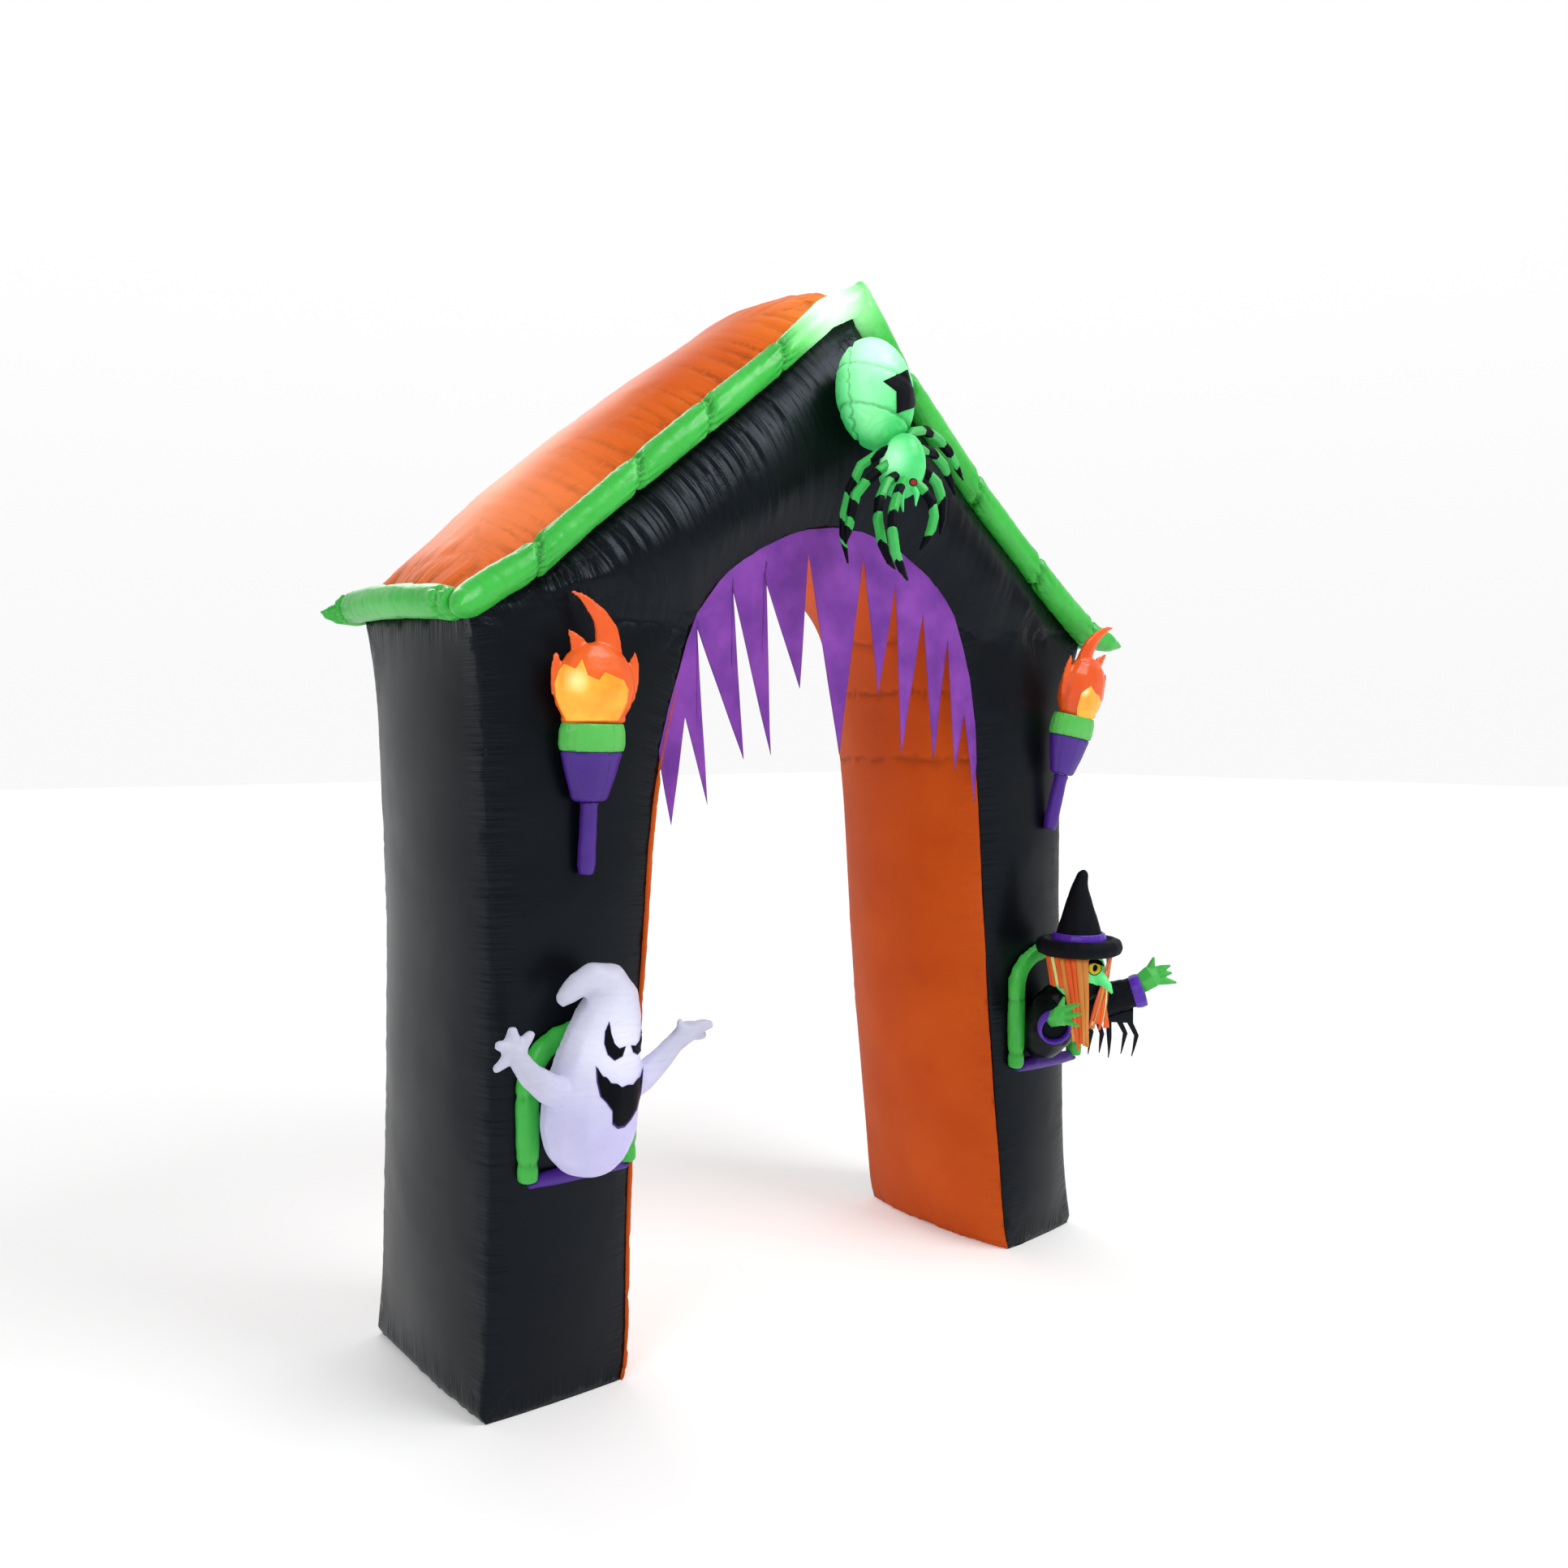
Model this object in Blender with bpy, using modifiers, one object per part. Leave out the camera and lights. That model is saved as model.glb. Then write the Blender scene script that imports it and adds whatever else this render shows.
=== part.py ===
"""Inflated Halloween archway in the shape of a small gabled house front.

Metres, +Z up. The arch stands on the floor at z = 0 and faces -Y. Every shape is
worked out in a frame whose X = 0 is the middle of the opening and whose Y = 0 is the
front seam of the legs; the empty arch_origin then carries all of the pieces, and puts
the middle of their bounding box on the origin.
"""
import math

import bmesh
import bpy
from mathutils import Euler, Matrix, Vector

# ---- driving dimensions ------------------------------------------------------------
DEPTH = 0.60            # front seam to back seam
GAP = 0.0006            # growth of a cutter, which leaves 0.3 to 0.6 mm between pieces
SEAT = 0.0005           # gap between two pieces that lie one on the other
WELD = 1e-6             # points nearer than this become one
SLIVER = 1e-5           # edges shorter than this go
EDGE_POWER = 2.4        # how squarely a filled panel rises from its seams
FACE_STEPS = 8          # facets across a front or back panel
SIDE_STEPS = 6          # facets across the outer side of a leg
DOME_STEPS = 10         # facets across the roof or the soffit
ORIGIN_SHIFT = (0.0086, -0.1649, 0.0)

TRIM_RADIUS = 0.038     # green tube up the slopes of the roof
EAVE_RADIUS = 0.040     # green tube along each eave
TRIM_OUT = 0.018        # how far the tube's centre stands out from the panel's seam
TRIM_RISE = 0.022       # and how far above the black panel's edge
EAVE_OUT = 0.018        # how far the eave's tube stands out beyond the corner
PINCHED_ROWS = (3, 6)   # rows from each eave where a stitch draws the tube in
PINCH = 0.90            # size of the tube at such a stitch
EAR_NECK = 0.55         # where an ear starts to narrow, as a share of its length
EAR_NECK_SIZE = 0.72    # size of the tube there
EAR_TIP_SIZE = 0.16     # and at the ear's tip
SMALLEST_DOT = 0.5      # keeps the normal at a sharp bend from growing too long
SHARP_ANGLE = 50.0      # degrees, above which an edge is shaded sharp
APEX_X = 0.052          # the ridge lies a little to the right of the opening's middle

# The two legs. "draw" is how far the front and back panels swell, "side" the outer one
# and "crown" the orange one that faces the opening. "turn" is how far the right foot's
# outer corner stands back from the front seam.
LEG_COLUMNS = ("z", "left_out", "left_in", "right_in", "right_out", "turn",
               "draw", "side", "crown")
LEG_ROWS = (
    (0.000, -1.014, -0.665, 0.673, 0.985, 0.040, 0.006, 0.006, 0.030),
    (0.018, -1.025, -0.655, 0.662, 0.998, 0.040, 0.010, 0.008, 0.036),
    (0.070, -1.019, -0.652, 0.655, 0.982, 0.034, 0.018, 0.018, 0.046),
    (0.200, -1.009, -0.650, 0.642, 0.940, 0.018, 0.028, 0.034, 0.062),
    (0.450, -1.000, -0.645, 0.613, 0.916, 0.004, 0.033, 0.046, 0.082),
    (0.750, -0.994, -0.622, 0.581, 0.902, 0.000, 0.035, 0.050, 0.090),
    (1.050, -0.990, -0.597, 0.557, 0.892, 0.000, 0.035, 0.050, 0.088),
    (1.300, -0.995, -0.577, 0.540, 0.888, 0.000, 0.034, 0.046, 0.082),
    (1.450, -1.002, -0.552, 0.523, 0.895, 0.000, 0.034, 0.040, 0.066),
    (1.550, -1.008, -0.530, 0.508, 0.905, 0.000, 0.033, 0.034, 0.070),
    (1.650, -1.015, -0.500, 0.492, 0.922, 0.000, 0.031, 0.026, 0.058),
    (1.740, -1.022, -0.469, 0.472, 0.952, 0.000, 0.027, 0.014, 0.058),
)

# The gable, from the left eave over the ridge to the right eave: the arched opening,
# the centre line of the roof's front trim, how far each panel swells there, and how much
# higher the back edge lies than the front one.
GABLE_COLUMNS = ("arch_x", "arch_z", "trim_x", "trim_z", "draw", "crown", "roof", "lift")
GABLE_ROWS = (
    (-0.452, 1.800, -1.050, 1.815, 0.018, 0.046, 0.080, 0.020),
    (-0.425, 1.838, -0.983, 1.860, 0.040, 0.050, 0.111, 0.014),
    (-0.392, 1.881, -0.897, 1.911, 0.056, 0.048, 0.131, 0.008),
    (-0.330, 1.941, -0.760, 2.027, 0.064, 0.046, 0.146, 0.003),
    (-0.255, 1.993, -0.570, 2.182, 0.068, 0.044, 0.148, 0.000),
    (-0.177, 2.030, -0.368, 2.344, 0.070, 0.042, 0.146, 0.000),
    (-0.084, 2.057, -0.178, 2.497, 0.070, 0.040, 0.131, 0.000),
    (-0.035, 2.065, -0.050, 2.612, 0.068, 0.040, 0.112, 0.000),
    (0.010, 2.068, APEX_X, 2.664, 0.066, 0.040, 0.116, 0.000),
    (0.052, 2.067, 0.105, 2.604, 0.068, 0.040, 0.112, 0.000),
    (0.097, 2.063, 0.181, 2.512, 0.070, 0.040, 0.124, 0.000),
    (0.199, 2.035, 0.320, 2.374, 0.070, 0.042, 0.140, 0.000),
    (0.290, 1.987, 0.497, 2.208, 0.068, 0.044, 0.144, 0.000),
    (0.368, 1.930, 0.660, 2.079, 0.062, 0.046, 0.144, 0.000),
    (0.408, 1.884, 0.820, 1.951, 0.054, 0.048, 0.134, 0.000),
    (0.432, 1.846, 0.920, 1.878, 0.040, 0.050, 0.112, 0.000),
    (0.452, 1.800, 0.992, 1.832, 0.018, 0.046, 0.076, 0.000),
)

# Corner ears of the roof trim, where a tube runs on past the eave to a soft point.
EAR_COLUMNS = ("trim", "x", "y", "z")
EAR_ROWS = (
    ("front_left", -1.098, -0.062, 1.794),
    ("front_right", 1.128, -0.030, 1.802),
    ("back_left", -1.146, 0.624, 1.828),
    ("back_right", 1.124, 0.630, 1.804),
)

# The tube along an eave, front to back: share of the depth, how far it bows outwards and
# upwards, and its size.
EAVE_COLUMNS = ("share", "bow", "rise", "size")
EAVE_ROWS = (
    (-0.01, 0.000, -0.004, 0.92),
    (0.15, 0.004, 0.004, 1.00),
    (0.40, 0.012, 0.012, 1.04),
    (0.65, 0.012, 0.014, 1.06),
    (0.88, 0.010, 0.010, 1.00),
    (1.01, 0.014, 0.004, 0.90),
)

# Torn hem of the valance, left to right: where it is cut and where it comes to a point,
# and the place on the arch that it hangs from.
VALANCE_THICKNESS = 0.0015
VALANCE_Y = -0.0020
VALANCE_COLUMNS = ("hem_x", "hem_z", "top_x", "top_z", "sway")
VALANCE_ROWS = (
    (-0.5400, 1.470, -0.5420, 1.490, 0.000),
    (-0.5170, 1.313, -0.5150, 1.592, 0.010),
    (-0.4710, 1.573, -0.4840, 1.684, 0.004),
    (-0.4150, 1.359, -0.4640, 1.750, 0.014),
    (-0.4360, 1.786, -0.4330, 1.822, 0.004),
    (-0.3090, 1.468, -0.3700, 1.899, 0.016),
    (-0.3340, 1.893, -0.3280, 1.940, 0.003),
    (-0.2230, 1.478, -0.2700, 1.981, 0.012),
    (-0.2370, 1.924, -0.2200, 2.007, 0.003),
    (-0.1310, 1.647, -0.1560, 2.034, 0.010),
    (-0.0950, 1.994, -0.0950, 2.051, 0.002),
    (-0.0080, 1.477, -0.0080, 2.064, 0.016),
    (0.0880, 1.997, 0.0880, 2.061, 0.002),
    (0.1320, 1.640, 0.1450, 2.047, 0.010),
    (0.2000, 1.935, 0.2000, 2.032, 0.003),
    (0.2100, 1.476, 0.2500, 2.008, 0.015),
    (0.3000, 1.862, 0.3000, 1.978, 0.003),
    (0.3300, 1.458, 0.3450, 1.945, 0.013),
    (0.3950, 1.799, 0.3850, 1.905, 0.003),
    (0.4100, 1.429, 0.4200, 1.860, 0.012),
    (0.4580, 1.589, 0.4560, 1.772, 0.004),
    (0.4930, 1.335, 0.4830, 1.686, 0.010),
    (0.5120, 1.450, 0.5060, 1.550, 0.000),
)
VALANCE_LEVELS = (0.0, 0.12, 0.5, 1.0)

# Torches, in a frame of their own: X across, Z up from the handle's foot. "lean" turns
# the top sideways and "tilt" turns it away from the wall, in degrees; "width" and "turn"
# narrow its flame and lean it further.
TORCH_FLAT = 0.56       # depth over width of a torch's cup
FLAME_FLAT = 0.36       # depth over width of a flame's tongues
BULB_FLAT = 0.46        # and of the bulb that they rise from
HANDLE_PROFILE = ((0.017, 0.000), (0.021, 0.020), (0.020, 0.150), (0.022, 0.166))
CUP_PROFILE = ((0.036, 0.1665), (0.045, 0.172), (0.063, 0.225), (0.076, 0.274), (0.075, 0.280))
RIM_PROFILE = ((0.079, 0.2805), (0.083, 0.295), (0.082, 0.325), (0.076, 0.344))
FLAME_FOOT = 0.3445
FLAME_BULB = (0.104, 0.104, 0.076)    # half width, half height, centre above the foot
# Tongues: x, z above the flame's foot, radius
FLAME_TONGUES = (
    ((0.016, 0.080, 0.060), (0.032, 0.140, 0.040), (0.030, 0.174, 0.036),
     (0.023, 0.204, 0.032), (0.004, 0.237, 0.022), (-0.023, 0.262, 0.015),
     (-0.046, 0.278, 0.008), (-0.070, 0.287, 0.003)),
    ((-0.024, 0.080, 0.050), (-0.037, 0.148, 0.029), (-0.048, 0.174, 0.021),
     (-0.064, 0.194, 0.010), (-0.077, 0.208, 0.003)),
    ((-0.080, 0.066, 0.032), (-0.094, 0.110, 0.020), (-0.099, 0.131, 0.013),
     (-0.100, 0.159, 0.003)),
    ((0.074, 0.060, 0.036), (0.094, 0.105, 0.024), (0.100, 0.131, 0.016),
     (0.100, 0.167, 0.003)),
)
TORCH_COLUMNS = ("side", "x", "y", "z", "lean", "tilt", "mirror", "width", "turn")
TORCH_ROWS = (
    ("left", -0.782, -0.050, 1.214, 0.8, 4.5, 1.0, 1.00, 0.0),
    ("right", 0.789, -0.045, 1.249, 9.0, 8.0, -1.0, 0.84, 5.0),
)

# Window surrounds, sewn to the legs: a tube round the top and sides, a tube for a sill.
FRAME_RADIUS = 0.027
FRAME_FOOT_SIZE = 0.85  # size of the surround at its two feet
SILL_RADIUS = 0.0190
SILL_END_SIZE = 0.8     # size of the sill where it meets them
WINDOW_STEPS = 8        # facets round the top of a window
WINDOW_Y = -0.040
WINDOW_COLUMNS = ("side", "x", "half_width", "foot_z", "spring_z", "top_z")
WINDOW_ROWS = (
    ("left", -0.800, 0.127, 0.536, 0.745, 0.862),
    ("right", 0.784, 0.128, 0.556, 0.800, 0.892),
)

# Ghost: rings of the body from its foot to the tip of its tail.
GHOST_COLUMNS = ("x", "y", "z", "radius")
GHOST_ROWS = (
    (-0.836, -0.134, 0.566, 0.024),
    (-0.836, -0.136, 0.578, 0.060),
    (-0.835, -0.138, 0.608, 0.090),
    (-0.832, -0.140, 0.660, 0.107),
    (-0.824, -0.141, 0.726, 0.108),
    (-0.808, -0.141, 0.796, 0.098),
    (-0.790, -0.140, 0.862, 0.085),
    (-0.776, -0.139, 0.916, 0.073),
    (-0.773, -0.139, 0.955, 0.062),
    (-0.788, -0.141, 0.984, 0.049),
    (-0.822, -0.145, 0.995, 0.037),
    (-0.862, -0.149, 0.984, 0.028),
    (-0.897, -0.153, 0.962, 0.020),
    (-0.911, -0.155, 0.951, 0.010),
)
# Limbs: each is a chain of points with a radius; the first chain is the arm or the palm,
# and the others are the fingers that grow from it.
GHOST_LEFT_ARM = (
    ((-0.900, -0.160, 0.752, 0.038), (-0.948, -0.172, 0.778, 0.034), (-0.994, -0.184, 0.815, 0.028),
     (-1.022, -0.190, 0.850, 0.023), (-1.034, -0.192, 0.872, 0.027), (-1.040, -0.192, 0.888, 0.018)),
    ((-1.033, -0.191, 0.868, 0.017), (-1.056, -0.194, 0.856, 0.014), (-1.083, -0.197, 0.840, 0.008)),
    ((-1.036, -0.191, 0.876, 0.018), (-1.058, -0.194, 0.886, 0.015), (-1.077, -0.196, 0.894, 0.009)),
    ((-1.036, -0.191, 0.880, 0.018), (-1.039, -0.193, 0.905, 0.015), (-1.040, -0.195, 0.926, 0.009)),
    ((-1.029, -0.191, 0.872, 0.017), (-1.007, -0.192, 0.892, 0.014), (-0.992, -0.193, 0.909, 0.008)),
)
GHOST_RIGHT_ARM = (
    ((-0.760, -0.160, 0.738, 0.038), (-0.712, -0.172, 0.764, 0.034), (-0.672, -0.182, 0.798, 0.029),
     (-0.636, -0.190, 0.834, 0.023), (-0.608, -0.194, 0.856, 0.027), (-0.586, -0.196, 0.864, 0.020)),
    ((-0.600, -0.202, 0.862, 0.019), (-0.574, -0.212, 0.870, 0.016), (-0.552, -0.218, 0.872, 0.009)),
    ((-0.600, -0.192, 0.856, 0.019), (-0.574, -0.194, 0.848, 0.016), (-0.556, -0.196, 0.842, 0.009)),
    ((-0.616, -0.196, 0.860, 0.014), (-0.628, -0.202, 0.878, 0.011), (-0.634, -0.206, 0.891, 0.006)),
)

# Spider, head down on the gable.
ABDOMEN = ((0.004, -0.146, 2.388), (0.106, 0.094, 0.142))
THORAX = ((0.028, -0.222, 2.204), (0.052, 0.054, 0.074))
THORAX_TILT = 14.0
ABDOMEN_LEAN = -13.0
LEG_RADIUS = 0.0140
LEG_TAPER = (0.75, 0.2)          # size of a leg at its last bend and at its tip
FANG_RADII = (0.011, 0.009, 0.002)
SPIDER_LEGS = (
    ((-0.005, -0.215, 2.240), (-0.034, -0.200, 2.226), (-0.067, -0.172, 2.198),
     (-0.086, -0.154, 2.140), (-0.096, -0.144, 2.080), (-0.099, -0.142, 2.022), (-0.087, -0.148, 1.955)),
    ((-0.005, -0.224, 2.210), (-0.048, -0.216, 2.180), (-0.084, -0.206, 2.148),
     (-0.108, -0.200, 2.118), (-0.120, -0.198, 2.066), (-0.129, -0.196, 2.026), (-0.134, -0.194, 1.998)),
    ((0.000, -0.240, 2.176), (-0.046, -0.248, 2.150), (-0.080, -0.256, 2.100),
     (-0.090, -0.262, 2.050), (-0.076, -0.262, 1.996), (-0.046, -0.256, 1.955), (-0.020, -0.248, 1.938)),
    ((0.004, -0.252, 2.160), (-0.038, -0.278, 2.122), (-0.074, -0.300, 2.074),
     (-0.086, -0.308, 2.024), (-0.076, -0.308, 1.970), (-0.046, -0.300, 1.930), (-0.014, -0.288, 1.906)),
    ((0.045, -0.215, 2.262), (0.082, -0.200, 2.296), (0.150, -0.175, 2.314),
     (0.216, -0.152, 2.306), (0.268, -0.142, 2.280), (0.300, -0.140, 2.244), (0.320, -0.146, 2.208)),
    ((0.045, -0.226, 2.232), (0.092, -0.220, 2.250), (0.150, -0.204, 2.252),
     (0.200, -0.192, 2.228), (0.230, -0.188, 2.190), (0.246, -0.190, 2.154)),
    ((0.040, -0.238, 2.194), (0.086, -0.244, 2.192), (0.118, -0.252, 2.164),
     (0.132, -0.258, 2.120), (0.132, -0.258, 2.074), (0.130, -0.252, 2.034)),
    ((0.036, -0.248, 2.164), (0.056, -0.266, 2.140), (0.074, -0.280, 2.110),
     (0.078, -0.284, 2.072), (0.070, -0.282, 2.040), (0.056, -0.278, 2.010), (0.040, -0.272, 1.986)),
)
# Each fang: its side, the leg that it grows beside, its root, middle and tip.
SPIDER_FANGS = (
    ("left", 3, (-0.002, -0.246, 2.148), (-0.018, -0.266, 2.112), (-0.014, -0.270, 2.076)),
    ("right", 7, (0.036, -0.246, 2.154), (0.034, -0.268, 2.124), (0.026, -0.272, 2.094)),
)

# Witch, leaning out of the right-hand window.
WITCH_TORSO = ((0.730, -0.040, 0.600, 0.034), (0.731, -0.066, 0.622, 0.060),
               (0.734, -0.090, 0.664, 0.077), (0.738, -0.112, 0.716, 0.078),
               (0.743, -0.138, 0.764, 0.060), (0.746, -0.156, 0.792, 0.034))
WITCH_HEAD = ((0.757, -0.190, 0.845), (0.076, 0.078, 0.084))
WITCH_NOSE = ((0.750, -0.240, 0.858, 0.024), (0.750, -0.278, 0.838, 0.017),
              (0.750, -0.300, 0.820, 0.011), (0.751, -0.314, 0.802, 0.003))
HAT_CENTRE = (0.748, -0.195)
BRIM_PROFILE = ((0.0, 0.901), (0.070, 0.900), (0.100, 0.899), (0.118, 0.906), (0.1245, 0.924),
                (0.118, 0.942), (0.100, 0.949), (0.084, 0.937), (0.0, 0.937))
HAT_FOOT = 0.9376
HAT_CHAIN = ((0.748, -0.195, HAT_FOOT, 0.0730), (0.748, -0.195, 0.970, 0.064),
             (0.748, -0.195, 1.006, 0.053), (0.748, -0.195, 1.050, 0.039),
             (0.749, -0.196, 1.090, 0.026), (0.753, -0.198, 1.112, 0.020),
             (0.758, -0.200, 1.128, 0.018), (0.761, -0.202, 1.138, 0.012),
             (0.762, -0.203, 1.143, 0.004))
BAND_PROFILE = ((0.0, HAT_FOOT), (0.0785, HAT_FOOT), (0.0780, 0.948), (0.0730, 0.963), (0.0, 0.963))
WITCH_LEFT_SLEEVE = ((0.706, -0.112, 0.745, 0.044), (0.666, -0.158, 0.722, 0.043),
                     (0.633, -0.205, 0.705, 0.041))
WITCH_RIGHT_SLEEVE = ((0.801, -0.102, 0.742, 0.046), (0.865, -0.170, 0.746, 0.053),
                      (0.936, -0.260, 0.781, 0.042))
CUFF_MAJOR = 0.0410
CUFF_MINOR = 0.0110
CUFF_TALL = 1.12        # height over width of a cuff
CUFF_STEPS = 12
WITCH_LEFT_HAND = (
    ((0.624, -0.206, 0.722, 0.018), (0.615, -0.226, 0.736, 0.025), (0.611, -0.246, 0.745, 0.030),
     (0.611, -0.266, 0.748, 0.019)),
    ((0.611, -0.250, 0.762, 0.013), (0.615, -0.280, 0.776, 0.009), (0.620, -0.306, 0.788, 0.003)),
    ((0.611, -0.256, 0.749, 0.013), (0.616, -0.290, 0.756, 0.009), (0.621, -0.314, 0.762, 0.003)),
    ((0.611, -0.252, 0.735, 0.013), (0.615, -0.280, 0.732, 0.009), (0.620, -0.304, 0.726, 0.003)),
    ((0.611, -0.244, 0.764, 0.012), (0.611, -0.252, 0.784, 0.008), (0.611, -0.258, 0.802, 0.003)),
)
WITCH_RIGHT_HAND = (
    ((0.935, -0.256, 0.790, 0.024), (0.943, -0.270, 0.806, 0.032), (0.961, -0.286, 0.824, 0.037),
     (0.975, -0.298, 0.832, 0.024)),
    ((0.957, -0.284, 0.842, 0.015), (0.957, -0.292, 0.862, 0.010), (0.955, -0.300, 0.884, 0.003)),
    ((0.969, -0.292, 0.838, 0.016), (0.985, -0.310, 0.850, 0.011), (0.999, -0.326, 0.858, 0.003)),
    ((0.971, -0.293, 0.828, 0.016), (0.989, -0.312, 0.834, 0.011), (1.003, -0.328, 0.836, 0.003)),
    ((0.965, -0.289, 0.814, 0.017), (0.991, -0.316, 0.812, 0.012), (1.013, -0.338, 0.808, 0.003)),
)
HAIR_THICKNESS = 0.003
HAIR_RADIUS = 0.105
HAIR_TOP = 0.910
# Hair: where each panel starts and ends round the head, where its feet gather, how many
# ribbons it has, and how many of them end on the sleeve.
HAIR_COLUMNS = ("side", "first_angle", "last_angle", "foot_a", "foot_b", "foot_z", "strips",
                "short")
HAIR_ROWS = (
    ("left", 152.0, 243.0, (0.630, -0.233), (0.704, -0.270), 0.655, 6, 3),
    ("right", 301.0, 345.0, (0.719, -0.253), (0.805, -0.254), 0.698, 5, 0),
)
HAIR_LEVELS = (0.0, 0.10, 0.36, 0.68, 1.0)
SHORT_CELLS = 2         # cells of a ribbon that ends on the sleeve
RIBBON_GAP = 0.10       # gap beside a hanging ribbon, as a share of its pitch
FRINGE_START = (0.837, -0.140)
FRINGE_END = (0.9355, -0.258)
FRINGE_TOP = 0.7450
FRINGE_THICKNESS = 0.003
FRINGE_STRIP = 0.059    # width of the strip that the tails hang from, before it is cut
# Strips of the sleeve's dagged hem: centre along it, how far the knee is pushed
# sideways, and the heights of the knee and the point.
FRINGE_COLUMNS = ("centre", "push", "knee_z", "tip_z")
FRINGE_ROWS = (
    (0.07, 0.012, 0.655, 0.588),
    (0.27, 0.012, 0.650, 0.594),
    (0.47, 0.002, 0.640, 0.580),
    (0.68, 0.016, 0.655, 0.594),
    (0.87, 0.018, 0.650, 0.588),
)
FRINGE_HALF = 0.0085
FRINGE_LEVELS = ((1.0, 0.0), (1.0, 0.0), (0.8, 1.0), (0.15, 0.3))   # width, push

COLOURS = {
    "black_nylon": ((0.012, 0.012, 0.014), 0.42),
    "orange_nylon": ((0.78, 0.16, 0.03), 0.45),
    "green_nylon": ((0.09, 0.60, 0.10), 0.45),
    "purple_sheer": ((0.22, 0.05, 0.38), 0.60),
    "purple_nylon": ((0.10, 0.03, 0.36), 0.45),
    "flame_nylon": ((0.92, 0.22, 0.03), 0.45),
    "white_nylon": ((0.78, 0.76, 0.92), 0.50),
    "hair_ribbon": ((0.82, 0.16, 0.02), 0.55),
}


# ---- helpers -----------------------------------------------------------------------
def clear_scene():
    for old in list(bpy.data.objects):
        bpy.data.objects.remove(old, do_unlink=True)


def row_dicts(columns, rows):
    return [dict(zip(columns, row)) for row in rows]


def make_materials():
    for name, (colour, roughness) in COLOURS.items():
        material = bpy.data.materials.new(name)
        material.use_nodes = True
        shader = material.node_tree.nodes["Principled BSDF"]
        shader.inputs["Base Color"].default_value = (*colour, 1.0)
        shader.inputs["Roughness"].default_value = roughness
        shader.inputs["Metallic"].default_value = 0.0


def link(obj, collection="inflatable_arch"):
    if collection not in bpy.data.collections:
        bpy.context.scene.collection.children.link(bpy.data.collections.new(collection))
    bpy.data.collections[collection].objects.link(obj)
    return obj


def tidy_mesh(mesh):
    """Weld, triangulate and face outwards, so every later cut meets the same facets."""
    bm = bmesh.new()
    bm.from_mesh(mesh)
    bmesh.ops.remove_doubles(bm, verts=bm.verts, dist=WELD)
    bmesh.ops.dissolve_degenerate(bm, edges=bm.edges, dist=SLIVER)
    bmesh.ops.triangulate(bm, faces=bm.faces)
    bmesh.ops.recalc_face_normals(bm, faces=bm.faces)
    bm.to_mesh(mesh)
    bm.free()


def bake(obj):
    """Replace an object by its evaluated mesh, with its modifiers applied."""
    bpy.context.view_layer.update()
    evaluated = obj.evaluated_get(bpy.context.evaluated_depsgraph_get())
    mesh = bpy.data.meshes.new_from_object(evaluated)
    mesh.transform(obj.matrix_world)
    baked = bpy.data.objects.new("baked", mesh)
    name = obj.name
    bpy.data.objects.remove(obj, do_unlink=True)
    baked.name = name
    link(baked)
    tidy_mesh(mesh)
    return baked


def from_rings(name, rings):
    """Closed skin over rings of equal length, with a flat cap at each end."""
    count = len(rings[0])
    points = [point for ring in rings for point in ring]
    faces = []
    for level in range(len(rings) - 1):
        low = level * count
        high = low + count
        for step in range(count):
            after = (step + 1) % count
            faces.append((low + step, low + after, high + after, high + step))
    faces.append(tuple(reversed(range(count))))
    faces.append(tuple(range(len(points) - count, len(points))))
    mesh = bpy.data.meshes.new(name)
    mesh.from_pydata(points, [], faces)
    tidy_mesh(mesh)
    return link(bpy.data.objects.new(name, mesh))


def tube(name, chain, resolution=2, flat=None):
    """Filled tube along a chain of (x, y, z, radius) points."""
    curve = bpy.data.curves.new(name, "CURVE")
    curve.dimensions = "3D"
    curve.bevel_depth = 1.0
    curve.bevel_resolution = resolution
    curve.use_fill_caps = True
    spline = curve.splines.new("POLY")
    spline.points.add(len(chain) - 1)
    for point, (x, y, z, radius) in zip(spline.points, chain):
        point.co = (x, y, z, 1.0)
        point.radius = radius
    obj = link(bpy.data.objects.new(name, curve))
    if flat:
        obj.scale = (1.0, flat, 1.0)
    return bake(obj)


def ellipsoid(name, centre, radii, segments=16, rings=10, tilt=0.0, lean=0.0):
    mesh = bpy.data.meshes.new(name)
    bm = bmesh.new()
    bmesh.ops.create_uvsphere(bm, u_segments=segments, v_segments=rings, radius=1.0)
    bm.to_mesh(mesh)
    bm.free()
    obj = link(bpy.data.objects.new(name, mesh))
    obj.scale = radii
    obj.rotation_euler = (math.radians(tilt), math.radians(lean), 0.0)
    obj.location = centre
    return bake(obj)


def turned(name, profile, centre=(0.0, 0.0), steps=20):
    """Solid of revolution about Z of (radius, z) points that run from foot to top."""
    closed = list(profile)
    if closed[0][0] > 0.0:
        closed.insert(0, (0.0, closed[0][1]))
    if closed[-1][0] > 0.0:
        closed.append((0.0, closed[-1][1]))
    closed.reverse()
    mesh = bpy.data.meshes.new(name)
    edges = [(index, index + 1) for index in range(len(closed) - 1)]
    mesh.from_pydata([(radius, 0.0, z) for radius, z in closed], edges, [])
    obj = link(bpy.data.objects.new(name, mesh))
    obj.location = (*centre, 0.0)
    screw = obj.modifiers.new("Screw", "SCREW")
    screw.steps = steps
    screw.render_steps = steps
    screw.use_merge_vertices = True
    screw.merge_threshold = SLIVER
    return bake(obj)


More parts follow.
